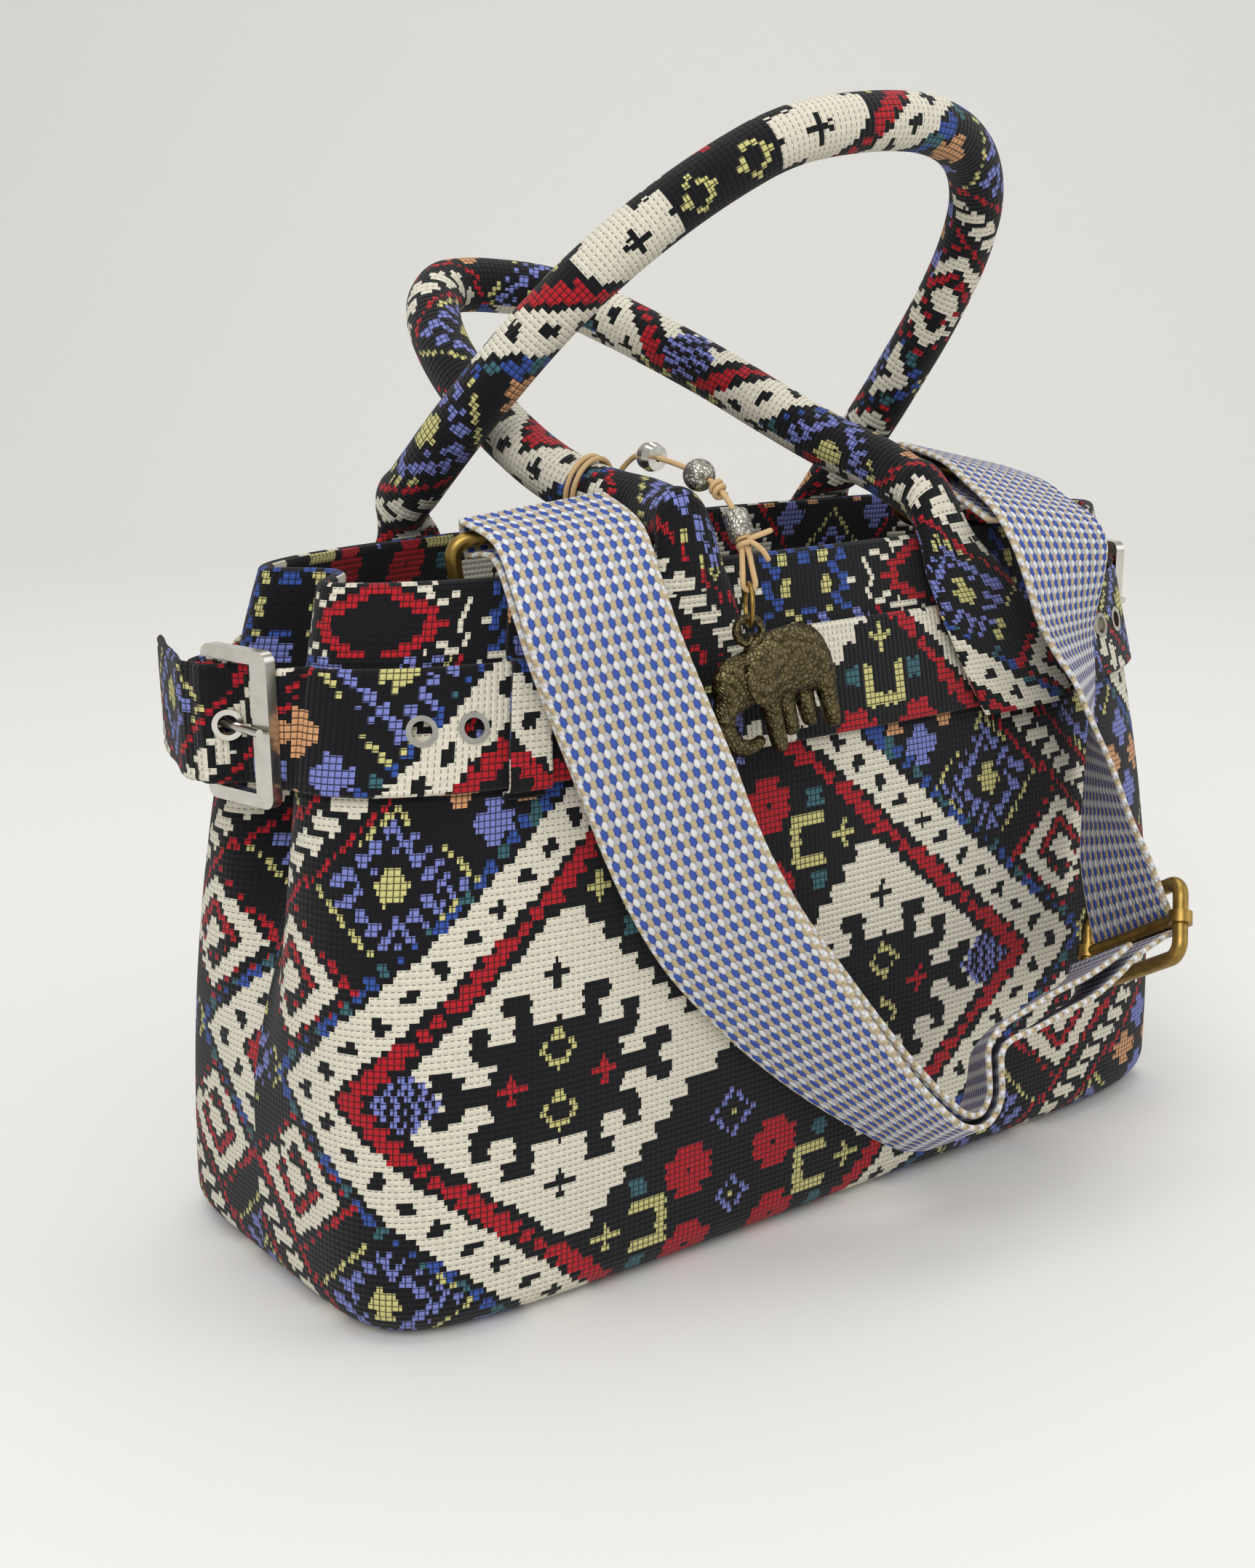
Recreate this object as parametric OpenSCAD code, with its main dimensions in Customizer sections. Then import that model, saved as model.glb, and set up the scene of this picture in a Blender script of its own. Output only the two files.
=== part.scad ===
// Soft fabric handbag: boxed woven body, belt with two buckles, two rolled handles,
// an adjustable webbing shoulder strap and an elephant charm. Millimetres, +Z up,
// origin on the floor at the middle of the base, front towards -Y.

/* [Bag body] */
// Width of the base
base_w = 408; // [340:1:460]
// Depth of the base, front to back
base_d = 176; // [140:1:210]
// Height of the rim above the floor
bag_h = 252; // [230:1:280]
// Width across the rim
rim_w = 386; // [330:1:420]
// Depth of the rim, front to back
rim_d = 118; // [100:1:150]
// How far the rim leans towards the front
rim_forward = 9; // [0:1:20]
// Thickness of the quilted outer fabric
wall = 3; // [2:0.5:4]
// Radius of the soft bottom edge
edge_r = 14; // [8:1:20]
// Depth of the inward fold of each side at the rim
side_fold = 24; // [0:1:34]
// Half width of that fold, front to back
fold_w = 15; // [10:1:20]
// Outward swell of the walls at mid height
belly = 5; // [0:1:10]

/* [Lining] */
// Thickness of the lining and of the rim facing
lining_t = 1.2; // [0.8:0.1:2]
// Thickness of the base board
board_t = 2; // [1:0.5:3]
// Gap between layers of cloth that lie on each other
layer_gap = 0.3; // [0.2:0.05:0.5]

/* [Belt] */
// Width of the belt
belt_w = 40; // [30:1:50]
// Thickness of the belt
belt_t = 2.6; // [2:0.2:4]
// How far the belt's middle line lies below the rim
belt_drop = 44; // [30:1:62]
// Radius of the hole of an eyelet
eyelet_r = 3.4; // [3.2:0.1:3.6]
// Width of the flange of an eyelet
eyelet_flange = 1.8; // [1.5:0.1:2]
// Width of a belt loop
loop_w = 22; // [14:1:30]
// Thickness of a belt loop
loop_t = 2; // [1.5:0.5:3]

/* [Buckles] */
// Height of the buckle frame
buckle_h = 52; // [50:1:60]
// Width of the buckle frame
buckle_w = 32; // [28:1:36]
// Thickness of the buckle frame
buckle_t = 4; // [3:0.5:5]
// Width of the front bar, which the prong rests on
buckle_bar = 8; // [6:1:10]
// Radius of the round bar, which holds the prong
buckle_pin_r = 2.2; // [1.8:0.1:2.6]
// Radius of the prong
prong_r = 1.4; // [1:0.1:1.5]

/* [Handles] */
// Diameter of the rolled handles
handle_d = 21; // [16:1:24]
// Width of the sewn tabs at the handle ends
tab_w = 54; // [40:1:60]
// Thickness of the sewn tabs
tab_t = 5; // [3:0.5:6]
// How far the bottom edge of the tabs lies below the rim
tab_drop = 66; // [62:1:82]

/* [Shoulder strap] */
// Width of the webbing
strap_w = 52; // [46:1:54]
// Thickness of the webbing
strap_t = 2.2; // [1.6:0.2:2.6]
// Radius of the wire of the rings
ring_wire_r = 2.7; // [2:0.1:3]
// Clear height inside a ring
ring_in_h = 23; // [18:1:26]
// Play of the webbing and of the tabs on their bars
bar_play = 2; // [1.8:0.1:2.6]
// Radius of the rod of the slider
slider_rod_r = 3; // [2.5:0.1:3.2]
// Distance from the slider's middle bar to its outer bars
slider_reach = 15; // [14:0.5:18]

/* [Charm] */
// Radius of the waxed cord
cord_r = 1; // [0.8:0.1:1.2]
// Thickness of the elephant
elephant_t = 8; // [6:1:10]
// Radius of the charm's wire ring
charm_ring_r = 7; // [6.5:0.5:8]
// Radius of that ring's wire
charm_wire_r = 0.8; // [0.6:0.1:0.9]

/* [Hidden] */
$fn = 40;

// How square the plan is at the base and at the rim
base_square = 6.5;
rim_square = 2.6;
// Share of the height at which the side folds start and end
fold_from = 0.25;
fold_to = 0.75;
belt_z = bag_h - belt_drop;
tab_z = bag_h - tab_drop;
belt_lo = belt_z - belt_w / 2;
belt_hi = belt_z + belt_w / 2;

// The plan of the bag is a rounded box. The place along it is t, from -4 to 4: the middle of the
// front is 0, the side seams are at -2 and 2, and the middle of the back is 4.
function wrap(t) = t > 4 ? t - 8 : t;
function plan_dir(t) = let (w = wrap(t), m = abs(w))
    m <= 1 ? [w, -1] : m <= 3 ? [sign(w), m - 2] : [sign(w) * (4 - m), 1];
function ease(v) = let (c = min(1, max(0, v))) c * c * (3 - 2 * c);
function swell(z) = belly * sin(180 * z / bag_h);
function half_w(z) = base_w / 2 + (rim_w - base_w) / 2 * pow(z / bag_h, 1.3) + swell(z);
function half_d(z) = base_d / 2 + (rim_d - base_d) / 2 * pow(z / bag_h, 1.6) + swell(z);
function square_n(z) = base_square + (rim_square - base_square) * pow(z / bag_h, 0.8);
function lean(z) = -rim_forward * z / bag_h;
function inset(z) = z < edge_r ? edge_r - sqrt(edge_r * edge_r - pow(edge_r - z, 2)) : 0;
// A point of the outer wall at place t and height z
function face_pt(t, z) =
    let (d = plan_dir(t), n = square_n(z),
        r = pow(pow(abs(d[0]), n) + pow(abs(d[1]), n), -1 / n),
        y = half_d(z) * d[1] * r,
        dent = side_fold * ease((z / bag_h - fold_from) / (fold_to - fold_from)) * exp(-pow(y / fold_w, 2)))
    [half_w(z) * d[0] * r - sign(d[0]) * dent, y + lean(z), z];
// Unit vectors of the wall at t: along it, towards rising t, and outwards
function unit(v) = v / norm(v);
function wall_along(t, z) = unit(face_pt(t + 0.02, z) - face_pt(t - 0.02, z));
function wall_out(t, z) = let (a = wall_along(t, z)) [a[1], -a[0], 0];
// A point of the wall moved outwards by off, and inwards at the soft bottom edge
function wall_pt(t, z, off) = face_pt(t, z) + wall_out(t, z) * (off - inset(z));

edge_levels = [for (a = [0 : 22.5 : 90]) edge_r * (1 - cos(a))];
upper_levels = concat([for (i = [1 : 5]) edge_r + (belt_lo - edge_r) * i / 5], [belt_hi, bag_h]);
outer_levels = concat(edge_levels, upper_levels);
// Heights of the layers that lie on the floor of the bag
board_z = wall + layer_gap;
lining_z = board_z + board_t + layer_gap;
lining_edge = [lining_z, (lining_z + edge_r) / 2, edge_r];
inner_levels = concat([wall], lining_edge, upper_levels);
side_steps = 5;
front_steps = 12;
half_places = concat([for (i = [0 : side_steps - 1]) -2 + i / side_steps],
    [for (i = [0 : front_steps]) -1 + 2 * i / front_steps],
    [for (i = [1 : side_steps]) 1 + i / side_steps]);
round_places = concat([for (i = [0 : len(half_places) - 2]) half_places[i]],
    [for (i = [0 : len(half_places) - 2]) half_places[i] + 4]);

function flat(l) = [for (a = l) for (b = a) b];
function backwards(l) = [for (i = [len(l) - 1 : -1 : 0]) l[i]];
// Triangles between row i and row i + 1 of rows of n points, closed round each row if ringed
function strip(i, k, n, ringed) = [for (j = [0 : n - (ringed ? 1 : 2)]) let (m = (j + 1) % n)
    each [[i * n + j, k * n + j, k * n + m], [i * n + j, k * n + m, i * n + m]]];
// The same for rows that run down the inside, so that both sides of the cloth bend along the same lines
function inner_strip(i, k, n, ringed) = [for (j = [0 : n - (ringed ? 1 : 2)]) let (m = (j + 1) % n)
    each [[i * n + j, k * n + j, i * n + m], [k * n + j, k * n + m, i * n + m]]];
function up(n) = [for (j = [0 : n - 1]) j];
function down(n, from) = [for (j = [n - 1 : -1 : 0]) from + j];

// Pairs of outer and inner levels that the cut edge of the shell joins, from the floor to the rim
seam_pairs = concat([[0, 0], [1, 0], [2, 0], [2, 1], [3, 1], [3, 2]],
    [for (k = [-1 : len(upper_levels)]) [4 + max(k, 0), 3 + k]]);
// Triangles of the cut edge at column c of a shell with n columns, whose lowest inner row is last
function seam_strip(n, c, last) = [for (i = [1 : len(seam_pairs) - 1])
    let (a = seam_pairs[i - 1], b = seam_pairs[i],
    oa = a[0] * n + c, ob = b[0] * n + c, ia = (last - a[1]) * n + c, ib = (last - b[1]) * n + c)
    each concat(oa == ob ? [] : [[oa, ob, ia]], ia == ib ? [] : [[ob, ib, ia]])];
// Half of the outer shell, cut at the side seams
module half_shell(places) {
    n = len(places);
    rows = concat([for (z = outer_levels) [for (t = places) wall_pt(t, z, 0)]],
        [for (i = [len(inner_levels) - 1 : -1 : 0]) [for (t = places) wall_pt(t, inner_levels[i], -wall)]]);
    last = len(rows) - 1;
    right = seam_strip(n, n - 1, last);
    left = [for (f = seam_strip(n, 0, last)) backwards(f)];
    sill = [[last * n + n - 1, last * n, 0], [last * n + n - 1, 0, n - 1]];
    top = len(outer_levels);
    polyhedron(flat(rows), concat(flat([for (i = [0 : top - 1]) strip(i, i + 1, n, false)]),
        flat([for (i = [top : last - 1]) inner_strip(i, i + 1, n, false)]), right, left, sill,
        [up(n), down(n, last * n)]),
        convexity = 8);
}

// A cup between two offsets of the wall
module cup(levels, floor_z, off_out, off_in) {
    n = len(round_places);
    rows = concat([for (z = levels) [for (t = round_places) wall_pt(t, z, off_out)]],
        [for (i = [len(levels) - 1 : -1 : 1]) [for (t = round_places) wall_pt(t, levels[i], off_in)]],
        [[for (t = round_places) wall_pt(t, floor_z, off_in)]]);
    last = len(rows) - 1;
    top = len(levels);
    polyhedron(flat(rows), concat(flat([for (i = [0 : top - 1]) strip(i, i + 1, n, true)]),
        flat([for (i = [top : last - 1]) inner_strip(i, i + 1, n, true)]), [up(n), down(n, last * n)]),
        convexity = 8);
}

// A band round the wall between two offsets, through a list of heights, with no floor
module wall_band(levels, off_out, off_in) {
    n = len(round_places);
    rows = concat([for (z = levels) [for (t = round_places) wall_pt(t, z, off_out)]],
        [for (z = backwards(levels)) [for (t = round_places) wall_pt(t, z, off_in)]]);
    m = len(rows);
    top = len(levels);
    polyhedron(flat(rows), concat(flat([for (i = [0 : top - 1]) strip(i, i + 1, n, true)]),
        flat([for (i = [top : m - 1]) inner_strip(i, (i + 1) % m, n, true)])), convexity = 8);
}

// A solid through rows of points, each row a closed loop that turns left about the way it goes
module skin(rows) {
    n = len(rows[0]);
    last = len(rows) - 1;
    fan_a = [for (j = [1 : n - 2]) [0, j, j + 1]];
    fan_b = [for (j = [1 : n - 2]) [last * n, last * n + j + 1, last * n + j]];
    polyhedron(flat(rows), concat(flat([for (i = [0 : last - 1]) strip(i, i + 1, n, true)]), fan_a, fan_b),
        convexity = 8);
}

// Unit tangents of a list of points
function tangents(p) = [for (i = [0 : len(p) - 1]) unit(p[min(i + 1, len(p) - 1)] - p[max(i - 1, 0)])];
// A smooth curve through route points, with k pieces between neighbours
function curve_pt(a, b, c, d, s) = 0.5 * (2 * b + (c - a) * s + (2 * a - 5 * b + 4 * c - d) * s * s
    + (3 * b - a - 3 * c + d) * s * s * s);
function smooth(p, k) = let (m = len(p) - 1) concat([for (i = [0 : m - 1]) for (j = [0 : k - 1])
    curve_pt(p[max(i - 1, 0)], p[i], p[i + 1], p[min(i + 2, m)], j / k)], [p[m]]);
// Cross directions carried along tangents, so that a tube doesn't twist
function carried(ts, u, i = 0) = i == len(ts) ? [] :
    let (v = unit(u - ts[i] * (ts[i] * u))) concat([v], carried(ts, v, i + 1));

module front_panel() color("#2b2b35") half_shell(half_places);
module back_panel() color("#2b2b35") half_shell([for (t = half_places) t + 4]);

inside_off = -wall - layer_gap;
module base_board() color("#b9a27c") translate([0, 0, board_z]) linear_extrude(board_t)
    polygon([for (t = round_places) let (p = wall_pt(t, board_z, inside_off - layer_gap)) [p[0], p[1]]]);
// The lining ends and the facing starts at the belt's lower edge, where both are sewn
lining_levels = concat(lining_edge,
    [for (z = upper_levels) if (z < belt_lo + 1) min(z, belt_lo - layer_gap)]);
module lining() color("#1c1c20")
    cup(lining_levels, lining_z + lining_t, inside_off, inside_off - lining_t);
module rim_facing() color("#3a3a52")
    wall_band([belt_lo, belt_hi, bag_h], inside_off, inside_off - lining_t);

// The left buckle stands at the front corner: its middle, and the way from its round pin to its front bar
buckle_out = 11;
buckle_y = -18;
buckle_turn = -76;
buckle_c = [-half_w(belt_z) - buckle_out, buckle_y];
buckle_u = [cos(buckle_turn), sin(buckle_turn)];
buckle_n = [buckle_u[1], -buckle_u[0]];
pin_inset = buckle_pin_r + 0.8;
pin_u = pin_inset - buckle_w / 2;
function by_buckle(u, n) = buckle_c + buckle_u * u + buckle_n * n;
holder_t = 1.8;
// How far out the holder's fold and the belt lie from the pin's axis
holder_n = buckle_pin_r + layer_gap + holder_t / 2;
over_n = holder_n + holder_t / 2 + layer_gap + belt_t / 2;
under_n = -buckle_t / 2 - layer_gap - belt_t / 2;
// The belt lies clear of the wall by its eyelets' lips. It leaves the wall past the front corners,
// takes a steep step between the bars of the buckle and ends in a free tip along the side
eyelet_lip = 0.6;
rivet_play = 0.3;
lip_n = belt_t / 2 + rivet_play;
belt_gap = 2 * layer_gap + rivet_play + eyelet_lip;
belt_reach_t = 1.61;
step_at = -5.2;
step_half = 4.2;
tip_back = [by_buckle(pin_u - 9, over_n), [-half_w(belt_z) - 17, 18], [-half_w(belt_z) - 13, 34],
    [-half_w(belt_z) - 8, 48]];
belt_end = concat([by_buckle(buckle_w / 2 - 2, under_n), by_buckle(step_at + step_half, under_n),
    by_buckle(step_at - step_half, over_n), by_buckle(pin_u - 2, over_n)], tip_back);
function flip(p) = [-p[0], p[1]];
// Rows of a band between the belt's edges: on plan points, and on the wall
function plan_row(p, i, th) = let (d = unit(p[min(i + 1, len(p) - 1)] - p[max(i - 1, 0)]),
    o = [d[1], -d[0]] * th / 2, a = p[i] + o, b = p[i] - o)
    [[a[0], a[1], belt_lo], [b[0], b[1], belt_lo], [b[0], b[1], belt_hi], [a[0], a[1], belt_hi]];
function wall_row(t, off, th) = [wall_pt(t, belt_lo, off + th), wall_pt(t, belt_lo, off),
    wall_pt(t, belt_hi, off), wall_pt(t, belt_hi, off + th)];
belt_places = [for (t = half_places) if (abs(t) < belt_reach_t) t];
left_rows = let (p = backwards(belt_end)) [for (i = [0 : len(p) - 1]) plan_row(p, i, belt_t)];
right_rows = let (p = [for (q = belt_end) flip(q)]) [for (i = [0 : len(p) - 1]) plan_row(p, i, belt_t)];
front_rows = [for (t = belt_places) wall_row(t, belt_gap, belt_t)];

// Flats of the belt with an eyelet in their middle, on each side; one more is where the prong comes through
eyelet_places = [[1 / 2, 2 / 3], [5 / 6, 1], [1, 1.2]];
eyelet_barrel = 0.6;
module at_eyelet(s, i) {
    if (i < len(eyelet_places)) {
        q = [for (t = eyelet_places[i]) for (z = [belt_lo, belt_hi]) wall_pt(s * t, z, belt_gap + belt_t / 2)];
        o = s * unit(cross(q[2] + q[3] - q[0] - q[1], q[1] + q[3] - q[0] - q[2]));
        translate((q[0] + q[1] + q[2] + q[3]) / 4) rotate([0, acos(o[2]), atan2(o[1], o[0])]) children();
    } else {
        p = by_buckle(step_at, (under_n + over_n) / 2);
        d = by_buckle(step_at - step_half, over_n) - by_buckle(step_at + step_half, under_n);
        mirror([s > 0 ? 1 : 0, 0, 0]) translate([p[0], p[1], belt_z])
            rotate([0, 0, atan2(d[1], d[0]) + 90]) rotate([0, 90, 0]) children();
    }
}
module eyelet() rotate_extrude() polygon([
    [eyelet_r, -lip_n - eyelet_lip], [eyelet_r + eyelet_flange, -lip_n - eyelet_lip],
    [eyelet_r + eyelet_flange, -lip_n], [eyelet_r + eyelet_barrel, -lip_n],
    [eyelet_r + eyelet_barrel, lip_n], [eyelet_r + eyelet_flange, lip_n],
    [eyelet_r + eyelet_flange, lip_n + eyelet_lip], [eyelet_r, lip_n + eyelet_lip]]);
module eyelets(s) color("silver") for (i = [0 : len(eyelet_places)]) at_eyelet(s, i) eyelet();
module left_eyelets() eyelets(-1);
module right_eyelets() eyelets(1);
module front_belt() color("#34343c") difference() {
    skin(concat(left_rows, front_rows, right_rows));
    for (s = [-1, 1]) for (i = [0 : len(eyelet_places)]) at_eyelet(s, i)
        cylinder(r = eyelet_r + eyelet_barrel + rivet_play / 2, h = 6 * belt_t, center = true);
}

// The back belt follows the back wall, crosses to each buckle and folds round its pin
back_reach_t = 1.61;
fold_end = [by_buckle(pin_u - 4, -holder_n),
    by_buckle(pin_u, -holder_n), by_buckle(pin_u + holder_n * 0.77, -holder_n * 0.77),
    by_buckle(pin_u + holder_n * 1.08, 0), by_buckle(pin_u + holder_n * 0.77, holder_n * 0.77),
    by_buckle(pin_u, holder_n), by_buckle(pin_u - 7, holder_n)];
prong_slot = 9;
module back_belt() color("#34343c") difference() {
    start = backwards([for (q = fold_end) flip(q)]);
    skin(concat([for (i = [0 : len(start) - 1]) plan_row(start, i, holder_t)],
        [for (t = half_places) if (abs(t) < back_reach_t) wall_row(t + 4, belt_gap, holder_t)],
        [for (i = [0 : len(fold_end) - 1]) plan_row(fold_end, i, holder_t)]));
    for (s = [0, 1]) mirror([s, 0, 0]) let (p = by_buckle(pin_u + 4, 0)) translate([p[0], p[1], belt_z])
        rotate([0, 0, buckle_turn]) cube([16, 16, prong_slot], center = true);
}

// A belt loop is a strip over the belt, turned in to the wall above and below it
loop_place = 0.75;
loop_rise = 20;
loop_drop = 4;
module belt_loop(s) color("#34343c") {
    lift = 2 * belt_gap + belt_t;
    heights = [[belt_lo - loop_drop, layer_gap], [belt_lo - 1.5, layer_gap], [belt_lo, lift],
        [belt_hi, lift], [belt_hi + 1.5, layer_gap], [belt_hi + loop_rise, layer_gap]];
    half = loop_w / 2 / half_w(belt_z);
    across = [for (k = [-1 : 0.5 : 1]) s * loop_place + k * half];
    skin([for (h = heights) concat([for (t = across) wall_pt(t, h[0], h[1] + loop_t)],
        [for (t = backwards(across)) wall_pt(t, h[0], h[1])])]);
}
module left_belt_loop() belt_loop(-1);
module right_belt_loop() belt_loop(1);

// A buckle is a flat frame, open at the back, where a round pin joins its ends
frame_rail = 4.6;
module rounded(w, h, r) {
    square([w - 2 * r, h], center = true);
    square([w, h - 2 * r], center = true);
    for (x = [-1, 1]) for (y = [-1, 1]) translate([x * (w / 2 - r), y * (h / 2 - r)]) circle(r);
}
module at_buckle() translate([buckle_c[0], buckle_c[1], belt_z]) rotate([0, 0, buckle_turn]) children();
window_w = buckle_w - buckle_bar;
module buckle_frame() color("#c9c9c6") at_buckle() {
    rotate([90, 0, 0]) translate([0, 0, -buckle_t / 2]) linear_extrude(buckle_t) difference() {
        rounded(buckle_w, buckle_h, 4);
        translate([-buckle_bar / 2 - 1, 0]) square([window_w + 2, buckle_h - 2 * frame_rail], center = true);
    }
    translate([pin_u, 0, 0]) cylinder(r = buckle_pin_r, h = buckle_h - 2 * frame_rail + 0.4, center = true);
}
module left_buckle_frame() buckle_frame();
module right_buckle_frame() mirror([1, 0, 0]) buckle_frame();
// The prong's eye is round the pin, and its tip rests on the front bar
eye_play = 0.08;
eye_wall = 1.5;
prong_len = buckle_w - pin_inset - 1.5;
module prong() color("#d8d8d4") at_buckle() translate([pin_u, 0, 0]) {
    eye_r = buckle_pin_r + eye_play;
    rise = atan2(buckle_t / 2 + prong_r + 2 * eye_play, buckle_w - buckle_bar - pin_inset);
    difference() {
        union() {
            cylinder(r = eye_r + eye_wall, h = 3.4, center = true);
            rotate([0, 0, -rise]) rotate([0, 90, 0]) cylinder(r = prong_r, h = prong_len);
        }
        cylinder(r = eye_r, h = 10, center = true);
    }
}
module left_prong() prong();
module right_prong() mirror([1, 0, 0]) prong();

// The free routes of the handles, the strap and the charm are drawn for these sizes, and move with them:
// up with the rim, and out with the front and with the width of the webbing where they hang below the rim
drawn_h = 252;
drawn_d = 176;
drawn_strap = 52;
hang_h = 60;
rim_rise = [0, 0, bag_h - drawn_h];
bulge = [0, (drawn_d - base_d) / 2, 0];
function hung(z) = min(1, max(0, (drawn_h - z) / hang_h));
function placed(p) = p + rim_rise + bulge * hung(p[2]);

// A handle is a rolled tube that opens into a flat sewn tab at each end. Rows are
// [middle, cross direction, half width, half thickness], and the tube follows a free route.
front_route = [[-66, -68, 267], [-63, -47, 270], [-66, -29, 272], [-71, -12, 276],
    [-74, 6, 283], [-75, 27, 293], [-76, 47, 305], [-75, 66, 319], [-69, 84, 332], [-56, 97, 342],
    [-34, 97, 343], [-10, 86, 339], [7, 64, 328], [24, 30, 311], [34, 8, 299], [45, -17, 286],
    [51, -40, 278], [53, -65, 268]];
back_route = [[-108, 47, 266], [-106, 33, 279], [-101, 20, 294], [-92, 7, 312],
    [-80, -4, 330], [-66, -14, 347], [-48, -24, 364], [-25, -34, 381], [2, -42, 395], [35, -46, 401],
    [67, -46, 401], [92, -41, 393], [108, -32, 377], [115, -19, 356], [114, -6, 333], [111, 8, 311],
    [109, 25, 288], [109, 45, 266]];
// A tab lies on the belt at its bottom and close to the wall at the rim, where it turns into the tube
front_lift = 2 * belt_gap + belt_t;
back_lift = belt_gap + holder_t + 2 * layer_gap;
tab_top = bag_h + 2;
tab_shares = [0, 0.3, 0.6, 0.8, 1];
neck_w = 28;
neck_t = 9;
handle_sides = 12;
tab_square = 0.8;
function oval(c, u, v, w, h, e) = [for (a = [0 : 360 / handle_sides : 359])
    c + u * w * sign(cos(a)) * pow(abs(cos(a)), e) + v * h * sign(sin(a)) * pow(abs(sin(a)), e)];
// Rows of a tab from its bottom edge to the start of the tube; it narrows and thickens on the way
function tab_rows(t0, t1, back, turn) = [for (q = tab_shares)
    let (z = tab_z + (tab_top - tab_z) * q, t = t0 + (t1 - t0) * q, k = pow(q, 3),
        half = tab_t / 2 + k * (neck_t - tab_t) / 2, lift = back ? back_lift : front_lift,
        off = lift * (1 - k) + 2 * layer_gap * k + half,
        a = wall_along(t, z) * (back ? -1 : 1) * turn)
    oval(wall_pt(t, min(z, bag_h), off) + [0, 0, max(0, z - bag_h)], a, cross([0, 0, turn], a),
        tab_w / 2 + k * (neck_w - tab_w) / 2, half, tab_square)];
module handle(route, t_left, t_left_top, t_right, t_right_top, back) {
    p = smooth([for (q = route) q + rim_rise], 2);
    ts = tangents(p);
    us = carried(ts, [1, 0, 0]);
    r = handle_d / 2;
    tube = [for (i = [0 : len(p) - 1]) oval(p[i], us[i], cross(ts[i], us[i]), r, r, 1)];
    skin(concat(tab_rows(t_left, t_left_top, back, 1), tube,
        backwards(tab_rows(t_right, t_right_top, back, -1))));
}
module front_handle() color("#30303a") handle(front_route, -0.42, -0.35, 0.47, 0.30, false);
module back_handle() color("#30303a") handle(back_route, -3.42, -3.42, 3.42, 3.42, true);

// The strap's route: the near edge of the webbing, and the turn and tilt of its width, along the
// front run from the left ring to the slider, and from the slider to the right ring
front_run = [[-85, -71, 269, 165, -5], [-90, -88, 254, 170, -7], [-89, -96, 238, 168, -8],
    [-83, -103, 216, 163, -10], [-78, -112, 194, 157, -13], [-71, -118, 170, 150, -17],
    [-60, -126, 142, 138, -22], [-47, -135, 117, 122, -27], [-34, -143, 94, 103, -32],
    [-21, -149, 75, 82, -37], [-11, -153, 63, 72, -36], [-3, -154, 57, 66, -33], [6, -154, 55, 62, -30],
    [12, -154, 59, 58, -28], [14, -154, 66, 55, -27], [13, -154, 75, 52, -26], [14, -153, 81, 50, -25],
    [20, -152, 84, 48, -24], [36, -151, 85, 48, -24], [52, -150, 87, 50, -24], [68, -149, 89, 53, -25],
    [83, -148, 94, 60, -27], [95, -147, 99, 70, -29]];
layer_apart = [7, 6, 5, 4.5, 4.5, 4.5, 4.5, 4.5, 4.5, 4.5, 4.5, 4.5, 4.5, 4.5, 4.5, 4.5,
    5, 6, 7.5, 8, 7.5, 6, 5];
right_run = [[106, -140, 133, 72, -20], [102, -133, 148, 62, -15], [98, -125, 168, 51, -10],
    [92, -118, 186, 40, -6], [89, -112, 199, 33, -4], [83, -106, 211, 25, -3], [75, -104, 224, 16, -3],
    [70, -101, 240, 6, -4], [68, -95, 253, -3, -6], [68, -85, 264, -9, -9], [72, -65, 273, -12, -12],
    [76, -48, 279, -13, -13]];
return_apart = [10, 7.5, 5];
function width_dir(a, tilt) = [cos(a) * cos(tilt), sin(a) * cos(tilt), sin(tilt)];
function near(r) = placed([r[0], r[1], r[2]]) - route_width(r) * (strap_w - drawn_strap) * hung(r[2]);
function route_width(r) = width_dir(r[3], r[4]);
// Pins that the webbing turns round: the near end of its axis, its direction, and two cross directions
left_bar = placed([-85, -54, 271]);
left_bar_turn = 160;
left_bar_tilt = -8;
right_bar = placed([78, -24, 277]);
right_bar_turn = -12;
right_bar_tilt = -13;
slider_turn = 79;
slider_tilt = -30;
slider_at = near([114, -146, 108, slider_turn, slider_tilt]);
turn_r = ring_wire_r + bar_play + strap_t / 2;
slider_turn_r = slider_rod_r + 0.4 + strap_t / 2;
function level_dir(w) = unit(cross(w, [0, 0, 1]));
function round_bar(at, w, r, angle) = let (e = level_dir(w), f = cross(e, w))
    at + e * r * cos(angle) + f * r * sin(angle);
function turn_rows(at, w, r, from, to, n) = [for (i = [0 : n])
    [round_bar(at, w, r, from + (to - from) * i / n), w]];
// Every row of the webbing as [near edge, width direction], from its sewn end at the slider
left_w = width_dir(left_bar_turn, left_bar_tilt);
right_w = width_dir(right_bar_turn, right_bar_tilt);
slider_w = width_dir(slider_turn, slider_tilt);
function side_of(run, i) = let (m = len(run) - 1,
    d = near(run[min(i + 1, m)]) - near(run[max(i - 1, 0)])) unit(cross(d, route_width(run[i])));
inner_layer = [for (i = [len(front_run) - 1 : -1 : 0])
    [near(front_run[i]) + side_of(front_run, i) * layer_apart[i], route_width(front_run[i])]];
outer_layer = [for (r = front_run) [near(r), route_width(r)]];
rising_layer = [for (r = right_run) [near(r), route_width(r)]];
return_end = let (m = len(right_run) - 1) [for (k = [0 : len(return_apart) - 1])
    [near(right_run[m - k]) + side_of(right_run, m - k) * return_apart[k], route_width(right_run[m - k])]];
strap_rows = concat(inner_layer, turn_rows(left_bar, left_w, turn_r, -80, 80, 4), outer_layer,
    turn_rows(slider_at, slider_w, slider_turn_r, 250, 440, 4), rising_layer,
    turn_rows(right_bar, right_w, turn_r, 100, 260, 4), return_end);
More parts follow.
